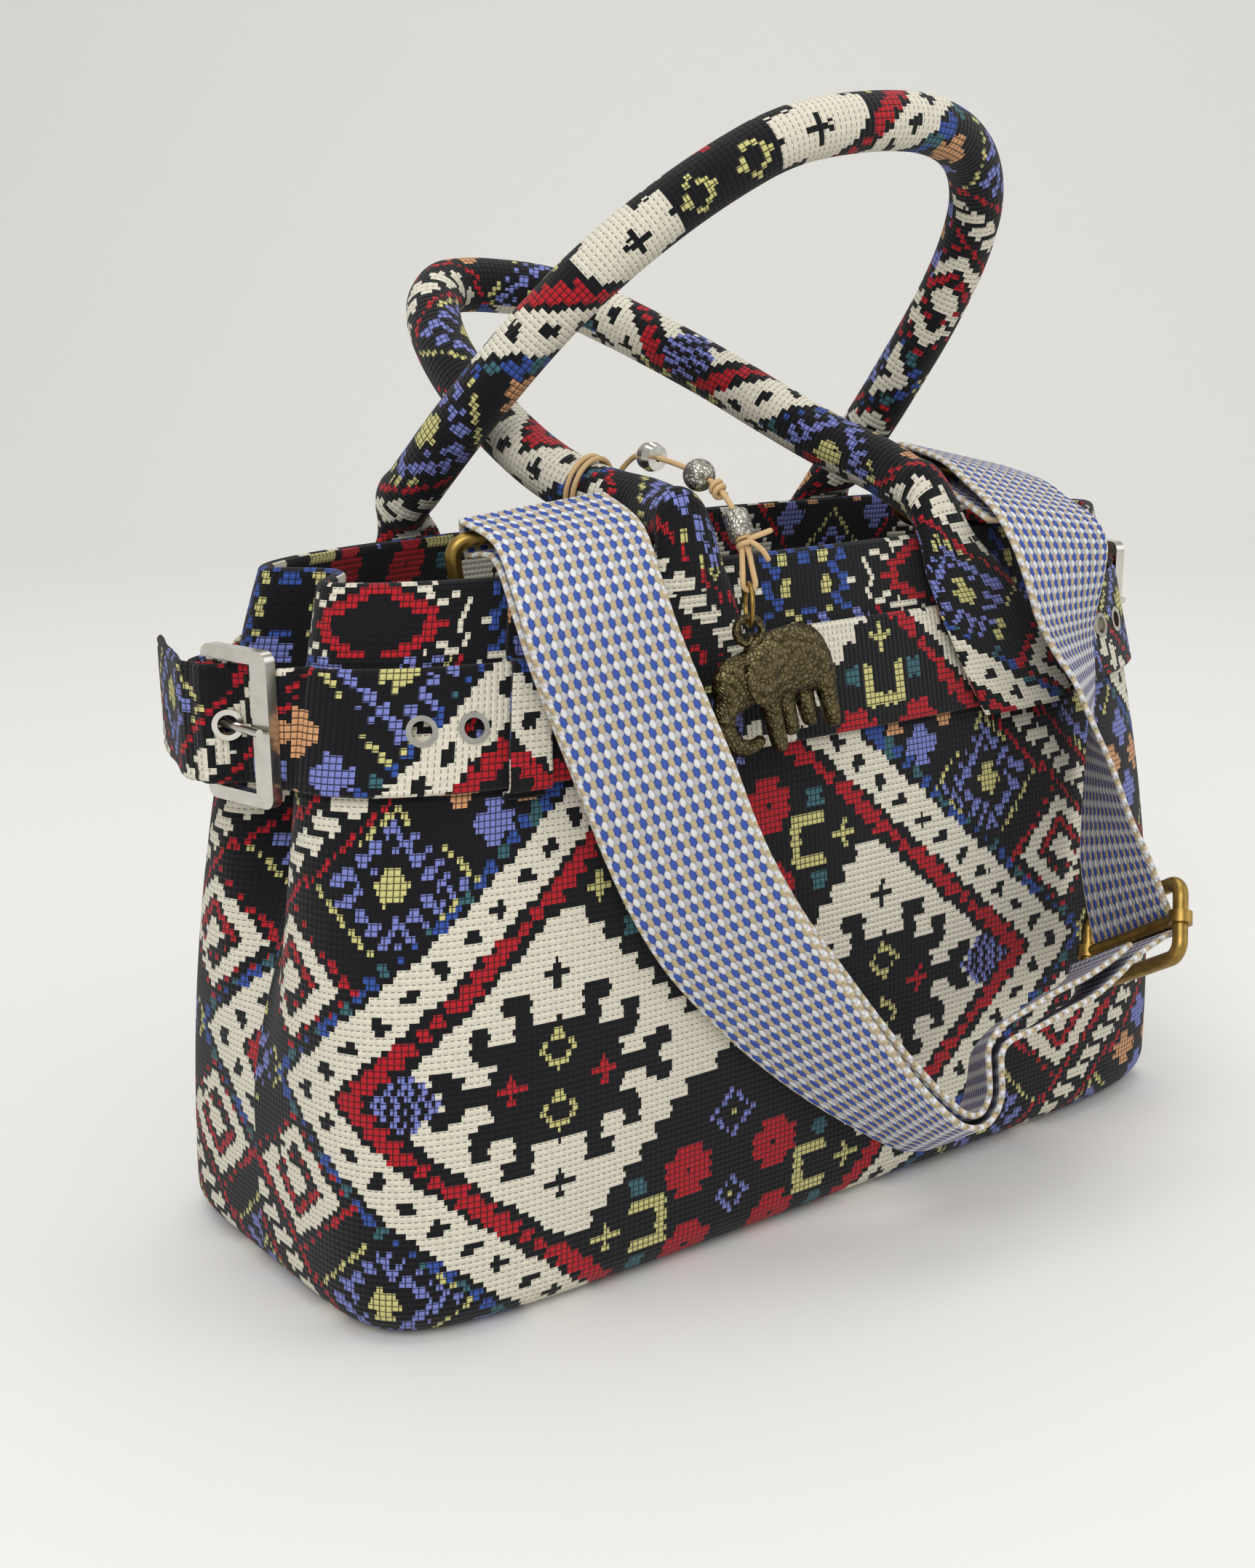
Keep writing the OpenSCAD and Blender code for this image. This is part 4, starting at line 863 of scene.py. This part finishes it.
def belts():
    """The front belt, which steps over the buckle's pin and runs on past it, and the back belt, which
    turns back round the pin."""
    end = [by_buckle(14, UNDER_N), by_buckle(STEP_AT + STEP_HALF, UNDER_N),
           by_buckle(STEP_AT - STEP_HALF, OVER_N), by_buckle(PIN_U - 2, OVER_N), by_buckle(PIN_U - 9, OVER_N),
           (EDGE_X - 17, 18), (EDGE_X - 13, 34), (EDGE_X - 8, 48)]
    near, top = HOLDER_N * 0.77, HOLDER_N * 1.08
    fold = [by_buckle(PIN_U - 4, -HOLDER_N), by_buckle(PIN_U, -HOLDER_N), by_buckle(PIN_U + near, -near),
            by_buckle(PIN_U + top, 0), by_buckle(PIN_U + near, near), by_buckle(PIN_U, HOLDER_N),
            by_buckle(PIN_U - 7, HOLDER_N)]
    front = cloth_tube("front_belt_cloth", band(end, 0, BELT_T), BAND_ZERO, wall(-0.88, BELT_Z, 2),
                       (20, -47), ("front_belt",))
    pierced(front, eyelet_lines(), EYELET_R)
    back = cloth_tube("back_belt_cloth", band(fold[::-1], 4, HOLDER_T), BAND_ZERO, wall(4, BELT_Z, 2),
                      (52, 0), ("back_belt",))
    prong = np.append(by_buckle(PIN_U + 4, 0), BELT_Z)
    pierced(back, [(prong * np.array([side, 1, 1]), np.array([1.0, 0, 0])) for side in (1, -1)], PRONG_HOLE_R)


belts()


# Belt loops: their place and half width on the wall, and heights with the distance of the strip from the wall
LOOP_T, LOOP_HALF, LOOP_THICK, LOOP_POINTS = 0.75, 11 / 200, 2.0, 21
LOOP_KEYS = np.array([(184, GAP), (186.5, GAP), (188.2, OVER_BELT), (198, OVER_BELT), (208, OVER_BELT),
                      (218, OVER_BELT), (227.8, OVER_BELT), (229.5, GAP), (238, GAP), (248, GAP)])


def belt_loop(name, node, side, cell):
    """A strip over the belt, turned in to the wall above and below it, with edges rounded by an eighth
    power."""
    across = np.linspace(-1, 1, LOOP_POINTS)
    t = side * LOOP_T + LOOP_HALF * across
    z, off = LOOP_KEYS[:, :1], LOOP_KEYS[:, 1:]
    outer = wall(t, z, off + LOOP_THICK - 0.5 * abs(across) ** 8)
    rows = np.concatenate([outer, wall(t[::-1], z, off)], 1)
    anchor = wall(side * LOOP_T, BELT_Z, 6)
    return cloth_tube(name, rings(rows, RING_STEP), LOOP_POINTS // 2, anchor, cell, (node,))


belt_loop("left_loop_cloth", "left_belt_loop", -1, (12, 56))
belt_loop("right_loop_cloth", "right_belt_loop", 1, (20, -56))


# Shoulder strap: rows of its near edge, each with the turn and tilt of its width in degrees, and the distance
# between the two layers
FRONT_RUN = [(-85, -71, 269, 165, -5), (-90, -88, 254, 170, -7), (-89, -96, 238, 168, -8),
             (-83, -103, 216, 163, -10), (-78, -112, 194, 157, -13), (-71, -118, 170, 150, -17),
             (-60, -126, 142, 138, -22), (-47, -135, 117, 122, -27), (-34, -143, 94, 103, -32),
             (-21, -149, 75, 82, -37), (-11, -153, 63, 72, -36), (-3, -154, 57, 66, -33),
             (6, -154, 55, 62, -30), (12, -154, 59, 58, -28), (14, -154, 66, 55, -27),
             (13, -154, 75, 52, -26), (14, -153, 81, 50, -25), (20, -152, 84, 48, -24),
             (36, -151, 85, 48, -24), (52, -150, 87, 50, -24), (68, -149, 89, 53, -25),
             (83, -148, 94, 60, -27), (95, -147, 99, 70, -29)]
APART = [7, 6, 5] + [4.5] * 13 + [5, 6, 7.5, 8, 7.5, 6, 5]
RIGHT_RUN = [(106, -140, 133, 72, -20), (102, -133, 148, 62, -15), (98, -125, 168, 51, -10),
             (92, -118, 186, 40, -6), (89, -112, 199, 33, -4), (83, -106, 211, 25, -3),
             (75, -104, 224, 16, -3), (70, -101, 240, 6, -4), (68, -95, 253, -3, -6),
             (68, -85, 264, -9, -9), (72, -65, 273, -12, -12), (76, -48, 279, -13, -13)]
RETURN_APART = [5, 7.5, 10]
LEFT_RING, SLIDER, RIGHT_RING = (-85, -54, 271, 160, -8), (114, -146, 108, 79, -30), (78, -24, 277, -12, -13)
RING_WIRE_R, RING_PLAY, SLIDER_BAR_R, SLIDER_PLAY = 2.7, 2, 3, 0.4
STRAP_STEP, STRAP_EDGE_THIN, STRAP_EDGE_RISE, TURN_ROWS = 1.5, 0.35, 40, 9


def near_edge(run):
    """Near edges and unit width directions of rows."""
    rows = np.array(run, float)
    turn, tilt = np.radians(rows[:, 3:].T)
    width = np.stack([np.cos(turn) * np.cos(tilt), np.sin(turn) * np.cos(tilt), np.sin(tilt)], -1)
    return np.hstack([rows[:, :3], width])


def beside(run, apart):
    """A second layer, apart from a run along its normal, which is square to the width and to the neighbours'
    chord."""
    rows = near_edge(run)
    ends = np.concatenate([rows[:1], rows, rows[-1:]])
    normal = unit(np.cross(ends[2:, :3] - ends[:-2, :3], rows[:, 3:]))
    rows[:, :3] += normal * np.array(apart, float)[:, None]
    return rows


def turned(bar, radius, start, stop):
    """Rows round a bar, from one angle to another in degrees."""
    row = near_edge([bar])[0]
    across = unit(np.cross(row[3:], [0, 0, 1]))
    a = np.radians(np.linspace(start, stop, TURN_ROWS))[:, None]
    points = row[:3] + (across * np.cos(a) + np.cross(across, row[3:]) * np.sin(a)) * radius
    return np.hstack([points, np.broadcast_to(row[3:], points.shape)])


def strap_rows():
    """Near edge and width direction of every row of the webbing, from its sewn end at the slider round the
    left ring, back to the slider, up to the right ring and back beside itself."""
    ring_r, slider_r = RING_WIRE_R + RING_PLAY + STRAP_T / 2, SLIDER_BAR_R + SLIDER_PLAY + STRAP_T / 2
    back_end = beside(RIGHT_RUN, [0] * 9 + RETURN_APART)[:-4:-1]
    return np.vstack([beside(FRONT_RUN, APART)[::-1], turned(LEFT_RING, ring_r, -80, 80),
                      near_edge(FRONT_RUN), turned(SLIDER, slider_r, 250, 440), near_edge(RIGHT_RUN),
                      turned(RIGHT_RING, ring_r, 100, 260), back_end])


def webbing():
    """The strap as a closed band with thin edges: points across each row, raised and lowered along its
    normal. Its places on the cloth run across and along it."""
    path, along = smooth_path(strap_rows(), STRAP_STEP)
    w = unit(path[:, 3:])
    v = unit(np.cross(np.gradient(path[:, :3], axis=0), w))
    across = np.concatenate([[0, 0.012], np.linspace(0.03, 0.97, 18), [0.988, 1]])
    thin = np.clip(STRAP_EDGE_THIN + STRAP_EDGE_RISE * np.minimum(across, 1 - across), 0, 1)
    base = path[:, None, :3] + w[:, None] * (across * STRAP_W)[:, None]
    rise = v[:, None] * (STRAP_T / 2 * thin)[:, None]
    points = np.concatenate([base + rise, (base - rise)[:, ::-1]], 1)
    u = np.concatenate([across, across[::-1]]) * STRAP_W
    uv = (u, along[:, None], np.roll(u, -1) - u, along[1])
    piece = surface("strap_webbing", points, np.ones((*points.shape[:2], 4)), uv, True)
    dress(piece, web, "bag", "webbing", "shoulder_strap")


webbing()


# Charm: the winding about the handle's leg, the cord's way down to the wire ring, and the elephant's bail
WIND_AT, WIND_AXIS, WIND_R, WIND_PITCH = np.array([-69, -19, 274.3]), unit(np.array([-5.0, 17, 4])), 12.3, 3
WIND_ANGLES, HITCH_ANGLES = np.radians(np.arange(-60, 751, 15)), np.radians(np.arange(0, -181, -45))
CORD_DROP = np.array([(-60, -36, 288), (-59, -48, 287), (-58, -60, 285), (-57, -74, 281), (-57, -85, 273),
                      (-58, -92, 263), (-59, -95, 256)], float)
TIED = CORD_DROP[5]
RING_TOP, RING_TURN, BAIL_AT = np.array([-59, -96, 249.5]), math.radians(60), np.array([-59, -96, 233.6])
CORD_STEP, CORD_SIDES, HITCH_R, STRAND_HALF = 0.8, 12, 2.1, 0.9
EASE_REACH, EASE_SKIP = 4, 4
KNOT_CORD_R, KNOT_SIDES, KNOT_R, KNOT_L, KNOT_TURNS = 0.95, 10, 2.1, 4.6, 2
ENDS_FROM, END_SAG = TIED + np.array([0, -1.6, 1.0]), np.array([0, -1.5, 0.5])
CUT_ENDS = np.array([(8.5, -2.0, 2.5), (6.0, -4.0, -7.0)])
UP = np.array([0, 0, 1.0])


def round_tube(name, path, radius, sides, *replaced):
    """A closed round tube of waxed cord along a path."""
    first = np.cross(unit(np.gradient(path, axis=0))[0], [0.3, 0.2, 1])
    points = round_rings(path, radius, sides, first)
    along, around, side = lengths(points)
    piece = surface(name, points, np.ones((*points.shape[:2], 4)), (around, along, side, 1), True)
    return dress(piece, waxed, "bag", "waxed_cord", *replaced)


def eased(path, reach):
    """A path smoothed by a bell-shaped mean over its neighbours, reach points wide; its ends stay in
    place."""
    span = 3 * reach
    weight = np.exp(-0.5 * (np.arange(-span, span + 1) / reach) ** 2)
    before, after = 2 * path[0] - path[span:0:-1], 2 * path[-1] - path[-2:-span - 2:-1]
    whole = np.vstack([before, path, after])
    return np.stack([np.convolve(column, weight / weight.sum(), "valid") for column in whole.T], -1)


def charm_cord():
    """The waxed cord: a helix about the handle's leg, down through the beads, in a half circle through the
    wire ring and back up beside itself to the knot."""
    e = unit(np.cross(WIND_AXIS, UP))
    f = np.cross(e, WIND_AXIS)
    a = WIND_ANGLES[:, None]
    rise = WIND_PITCH * (1 - a / (2 * math.pi))
    wind = WIND_AT + (e * np.cos(a) + f * np.sin(a)) * WIND_R + WIND_AXIS * rise
    n = np.array([math.sin(RING_TURN), -math.cos(RING_TURN), 0])

    def strand(side, shares):
        """Points on the straight line from the tied place down to one side of the ring."""
        q = np.array(shares)[:, None]
        return TIED * (1 - q) + (RING_TOP + n * side * HITCH_R) * q + n * side * STRAND_HALF * (1 - q)

    a = HITCH_ANGLES[:, None]
    hitch = RING_TOP + (n * np.cos(a) + UP * np.sin(a)) * HITCH_R
    drop = eased(smooth_path(np.vstack([wind, CORD_DROP[:6]]), CORD_STEP)[0], EASE_REACH)[::EASE_SKIP]
    route = np.vstack([drop, strand(1, (0.3, 0.5, 0.75)), hitch, strand(-1, (0.75, 0.5, 0.25, 0))])
    path, along = smooth_path(route, CORD_STEP)
    piece = round_tube("cord_of_charm", path, CORD_R, CORD_SIDES, "charm_cord")
    beads = [nodes[k] for k in ("bell_bead", "filigree_bead", "cylinder_bead")]
    beads + knots()


def knots():
    """Short tubes: two knots, each two tight turns of a helix, above the engraved bead and at the tied place,
    and two cut ends there, which sag by a sine."""
    made = []
    above = CORD_DROP[3] * 0.75 + CORD_DROP[4] * 0.25
    for at, way in ((above, CORD_DROP[4] - CORD_DROP[3]), (TIED, CORD_DROP[6] - TIED)):
        way = unit(way)
        e = unit(np.cross(way, [0, 1, 0]))
        q = np.linspace(0, 1, 60)[:, None]
        a = 2 * math.pi * KNOT_TURNS * q
        made.append(at + (e * np.cos(a) + np.cross(way, e) * np.sin(a)) * KNOT_R + way * (q - 0.5) * KNOT_L)
    for reach in CUT_ENDS:
        q = np.linspace(0, 1, 14)[:, None]
        made.append(ENDS_FROM + reach * q + END_SAG * np.sin(math.pi * q))
    return [round_tube("cord_knot_%d" % k, path, KNOT_CORD_R, KNOT_SIDES) for k, path in enumerate(made)]


charm_cord()


# Elephant, from its bail, with x to its tail, y up and z to its left: middles and half sizes of its balls,
# and points and radii of its lines
ELEPHANT_TURN, ELEPHANT_TILT = math.radians(-8), math.radians(-18)
GRID_STEP, GRID_CORNER, GRID_SIZE = 0.45, np.array([-26.0, -50, -8]), (130, 126, 36)
BODY, RUMP = ((7, -15.5, 0), (17, 12, 6.4)), ((17, -18, 0), (9.5, 11.5, 6.0))
HEAD = ((-10, -15.5, 0), (9.2, 9.6, 5.0))
TRUNK_ROOT, TRUNK_C, TRUNK_W, TRUNK_H = (-14, -17, 0), (-10, -29), 9, 10
TRUNK_R, TRUNK_FLAT, TRUNK_ANGLES = (5.2, 2.2), 1.2, np.radians(np.arange(118, 300, 13))
LEGS = ((-0.6, -20, -44, 2.6), (7, -22, -41.5, -2.4), (15, -22, -41.5, -2.4), (22.4, -20, -44.5, 2.6))
LEG_R, LEG_OUT, LEG_LEAN, FOOT_H = (4.2, 3.0), 0.6, 0.3, 2
LEFT_EAR, RIGHT_EAR = ((-3.0, -17, 5.7), (6.2, 9.0, 1.7)), ((-3.5, -17, -4.6), (6.4, 8.8, 1.7))
EAR_HOLLOW = ((-3.0, -16.4, 8.0), (4.2, 6.4, 1.4))
EYE, EYE_HOLLOW = ((-13, -13, 4.3), (1.5, 1.2, 1.0)), ((-13, -13, 5.5), (0.8, 0.7, 0.7))
TAIL, TAIL_R = ((25, -13, 0), (27.5, -20, 0), (26.8, -29, 0)), (1.2, 1.0, 1.5)
TUSK, TUSK_R, TUSK_OUT = ((-15, -22), (-19, -25), (-21.5, -24)), (1.2, 1.0, 0.6), 3.2
NECK, NECK_R = ((-0.5, -6, 0), (0.3, -3.0, 0)), (2.6, 1.6)
DIMPLE, DIMPLE_WAVE = 0.07, 2.9
BAIL_R, BAIL_THICK, BAIL_WIDE, BAIL_ROWS, BAIL_SIDES = 4.4, 1.4, 1.8, 48, 14


def nets(field, corner, step):
    """Surface nets of a field's zero level: a point in each grid cell that it crosses, at the mean of the
    crossings on the cell's edges, and a face for each crossed grid edge."""
    cells = np.array(field.shape) - 1
    total, count = np.zeros((*cells, 3)), np.zeros(cells)

    def ends(start, axis, size):
        """The field at both ends of each grid edge along an axis."""
        stop = start + np.eye(3, dtype=int)[axis]
        return [field[tuple(slice(o, o + n) for o, n in zip(place, size))] for place in (start, stop)]

    for axis in range(3):
        for corner_b, corner_c in ((0, 0), (0, 1), (1, 0), (1, 1)):
            start = np.insert([corner_b, corner_c], axis, 0)
            low, high = ends(start, axis, cells)
            crossed = (low < 0) != (high < 0)
            at = np.zeros((*crossed.shape, 3)) + start
            at[..., axis] = np.where(crossed, low / np.where(crossed, low - high, 1), 0)
            total += at * crossed[..., None]
            count += crossed
    used = count > 0
    number = np.full(used.shape, -1)
    number[used] = np.arange(used.sum())
    points = corner + (np.argwhere(used) + total[used] / count[used][:, None]) * step
    faces = []
    for axis in range(3):
        start = np.insert([1, 1], axis, 0)
        low, high = ends(start, axis, cells - start)
        for outward in (True, False):
            where = np.argwhere((low < 0) & (high >= 0) if outward else (low >= 0) & (high < 0)) + start
            quad = []
            for around in ((-1, -1), (0, -1), (0, 0), (-1, 0)):
                quad.append(number[tuple((where + np.insert(around, axis, 0)).T)])
            quad = np.stack(quad, -1)
            faces.append(quad if outward == (axis != 1) else quad[:, ::-1])
    return points, np.concatenate(faces)


def elephant_field(g):
    """A field that is below zero inside the elephant: a smooth union of ellipsoids and thick lines, with
    small dimples, which are a product of sines."""
    def ball(middle, half):
        """An ellipsoid: its own radius less one, times its least half size."""
        return (np.linalg.norm((g - np.array(middle)) / np.array(half), axis=-1) - 1) * min(half)

    def line(points, radii, flat=1):
        """A thick line: the distance from the nearest stretch less its radius there, z stretched by flat."""
        best = np.full(g.shape[:3], np.inf)
        for p, q, r0, r1 in zip(points, points[1:], radii, radii[1:]):
            way = np.array(q, float) - np.array(p, float)
            v = g - np.array(p, float)
            s = np.clip((v @ way) / (way @ way), 0, 1)
            aside = (v - s[..., None] * way) * np.array([1, 1, flat])
            best = np.minimum(best, np.linalg.norm(aside, axis=-1) - (r0 + (r1 - r0) * s))
        return best

    def join(p, q, k):
        """The lesser of two fields, rounded off by a parabola where they differ by less than k."""
        h = np.clip(0.5 + 0.5 * (q - p) / k, 0, 1)
        return q + (p - q) * h - k * h * (1 - h)

    shape = join(join(ball(*BODY), ball(*RUMP), 3), ball(*HEAD), 2)
    a = TRUNK_ANGLES
    curl = np.stack([TRUNK_C[0] + TRUNK_W * np.cos(a), TRUNK_C[1] + TRUNK_H * np.sin(a), 0 * a], -1)
    trunk = np.vstack([TRUNK_ROOT, curl])
    shape = join(shape, line(trunk, np.linspace(*TRUNK_R, len(trunk)), TRUNK_FLAT), 1.5)
    for x, top, foot, out in LEGS:
        leg = ((x, top, out * LEG_OUT), (x - LEG_LEAN, foot + FOOT_H, out * LEG_OUT))
        shape = join(shape, line(leg, LEG_R), 1)
    ears = np.maximum(np.minimum(ball(*LEFT_EAR), ball(*RIGHT_EAR)), -ball(*EAR_HOLLOW))
    shape = join(shape, ears, 0.3)
    shape = join(shape, np.maximum(ball(*EYE), -ball(*EYE_HOLLOW)), 0.2)
    shape = join(shape, line(TAIL, TAIL_R), 0.8)
    for out in (-TUSK_OUT, TUSK_OUT):
        shape = join(shape, line([(*p, out) for p in TUSK], TUSK_R), 0.5)
    shape = join(shape, line(NECK, NECK_R), 0.8)
    return shape + DIMPLE * np.sin(g[..., 0] * DIMPLE_WAVE) * np.sin(g[..., 1] * DIMPLE_WAVE)


def elephant():
    """A cast elephant: the surface of its field, stood upright, tilted and turned at its bail, and the
    bail, a ring of ovals."""
    def about(axis, angle):
        """The matrix of a turn about an axis."""
        c, s = math.cos(angle), math.sin(angle)
        b, d = [(1, 2), (2, 0), (0, 1)][axis]
        turn = np.eye(3)
        turn[b, b], turn[b, d], turn[d, b], turn[d, d] = c, -s, s, c
        return turn

    turn = about(2, ELEPHANT_TURN) @ about(1, ELEPHANT_TILT) @ about(0, math.pi / 2)
    axes = [corner + GRID_STEP * np.arange(size) for corner, size in zip(GRID_CORNER, GRID_SIZE)]
    grid = np.stack(np.meshgrid(*axes, indexing="ij"), -1)
    own, faces = nets(elephant_field(grid), GRID_CORNER, GRID_STEP)
    points = own @ turn.T + BAIL_AT
    u = np.array([math.sin(RING_TURN), -math.cos(RING_TURN), 0])
    a = np.linspace(0, 2 * math.pi, BAIL_ROWS, endpoint=False)[:, None, None]
    out = u * np.cos(a) + UP * np.sin(a)
    bail = oval(BAIL_AT + out * BAIL_R, out, np.cross(u, UP), BAIL_THICK, BAIL_WIDE, 1, BAIL_SIDES)
    links = grid_faces(BAIL_ROWS, BAIL_SIDES, (True, True))[2] + len(points)
    points = np.vstack([points, bail.reshape(-1, 3)])
    piece = put_in_scene("elephant_charm", points, np.vstack([faces, links]).tolist())
    return dress(piece, engraved, "charm_figure", "dark_brass", "elephant")


elephant()


# Solids that keep their shape
NICKEL_NODES = ("left_eyelets", "right_eyelets", "left_buckle_frame", "right_buckle_frame", "left_prong",
                "right_prong", "bell_bead")
BRASS_NODES = ("left_strap_ring", "right_strap_ring", "slider_frame", "slider_bar", "charm_ring")
CHASED_NODES = ("filigree_bead", "cylinder_bead")
LINING_NODES = ("lining", "left_ring_tab", "right_ring_tab")
for names, material in ((NICKEL_NODES, nickel), (BRASS_NODES, brass), (CHASED_NODES, chased),
                        (LINING_NODES, lining), (("base_board",), board)):
    for node_name in names:
        coat(nodes[node_name], material)


# Stage, in metres: the floor's ends, its curve and half width, the lights' places, sizes and powers, and
# the camera
FLOOR_NEAR, FLOOR_FAR, CURVE_R, BACK_H, FLOOR_HALF_W = -4, 1.6, 1.2, 5.0, 7
FLAT_ROWS, CURVE_ROWS = 20, 16
LIGHTS = (("key", (-1.6, -1.5, 2.0), 1.8, 38), ("fill", (1.8, -1.6, 1.3), 2.2, 14),
          ("top", (0.2, 0.5, 2.6), 2.4, 26))
LIGHT_AIM = np.array([0, 0, 0.15])
SURROUND = 0.55
CAMERA_AT, CAMERA_TURN, CAMERA_TILT = (-0.4929, -0.6137, 0.3569), math.radians(-37.9), math.radians(16.4)
LENS, SENSOR, SHIFT_X, SHIFT_Y = 46.46, 36, -0.0312, 0.039


def backdrop():
    """A pale paper floor, square to the camera, that curves up behind in a quarter circle."""
    a = np.linspace(0, math.pi / 2, CURVE_ROWS)[1:]
    flat = np.linspace(FLOOR_NEAR, FLOOR_FAR, FLAT_ROWS)
    depth = np.concatenate([flat, FLOOR_FAR + CURVE_R * np.sin(a), [FLOOR_FAR + CURVE_R]])
    rise = np.concatenate([0 * flat, CURVE_R - CURVE_R * np.cos(a), [BACK_H]])
    side = np.array([-FLOOR_HALF_W, FLOOR_HALF_W])[:, None]
    c, s = math.cos(CAMERA_TURN), math.sin(CAMERA_TURN)
    points = np.stack([-side * c - depth * s, -side * s + depth * c, rise + 0 * side], -1) * METRE
    n = len(depth)
    floor = put_in_scene("backdrop", points, [[k, k + 1, n + k + 1, n + k] for k in range(n - 1)])
    material, tree, bsdf = shader("paper")
    plug(tree, bsdf, {"Base Color": linear("#e9e8e5"), "Roughness": 0.9})
    coat(floor, material)


def stage():
    """The backdrop, a grey surround, a soft key light from the left with fill and top light, and the
    camera."""
    scene = bpy.context.scene
    backdrop()
    world = bpy.data.worlds.new("studio")
    world.use_nodes = True
    plug(world.node_tree, world.node_tree.nodes["Background"], [linear("#f2f2f0"), SURROUND])
    scene.world = world
    for name, place, size, power in LIGHTS:
        lamp = bpy.data.lights.new(name, "AREA")
        lamp.size = size
        lamp.energy = power
        item = bpy.data.objects.new(name, lamp)
        item.location = place
        aim = unit(LIGHT_AIM - np.array(place))
        item.rotation_euler = (math.acos(-aim[2]), 0, math.atan2(aim[1], aim[0]) - math.pi / 2)
        scene.collection.objects.link(item)
    camera = bpy.data.cameras.new("camera")
    camera.lens = LENS
    camera.sensor_width = SENSOR
    camera.shift_x, camera.shift_y = SHIFT_X, SHIFT_Y
    eye = bpy.data.objects.new("camera", camera)
    eye.location = CAMERA_AT
    eye.rotation_euler = (math.pi / 2 - CAMERA_TILT, 0, CAMERA_TURN)
    scene.collection.objects.link(eye)
    scene.camera = eye
    scene.view_settings.view_transform = "Standard"


stage()
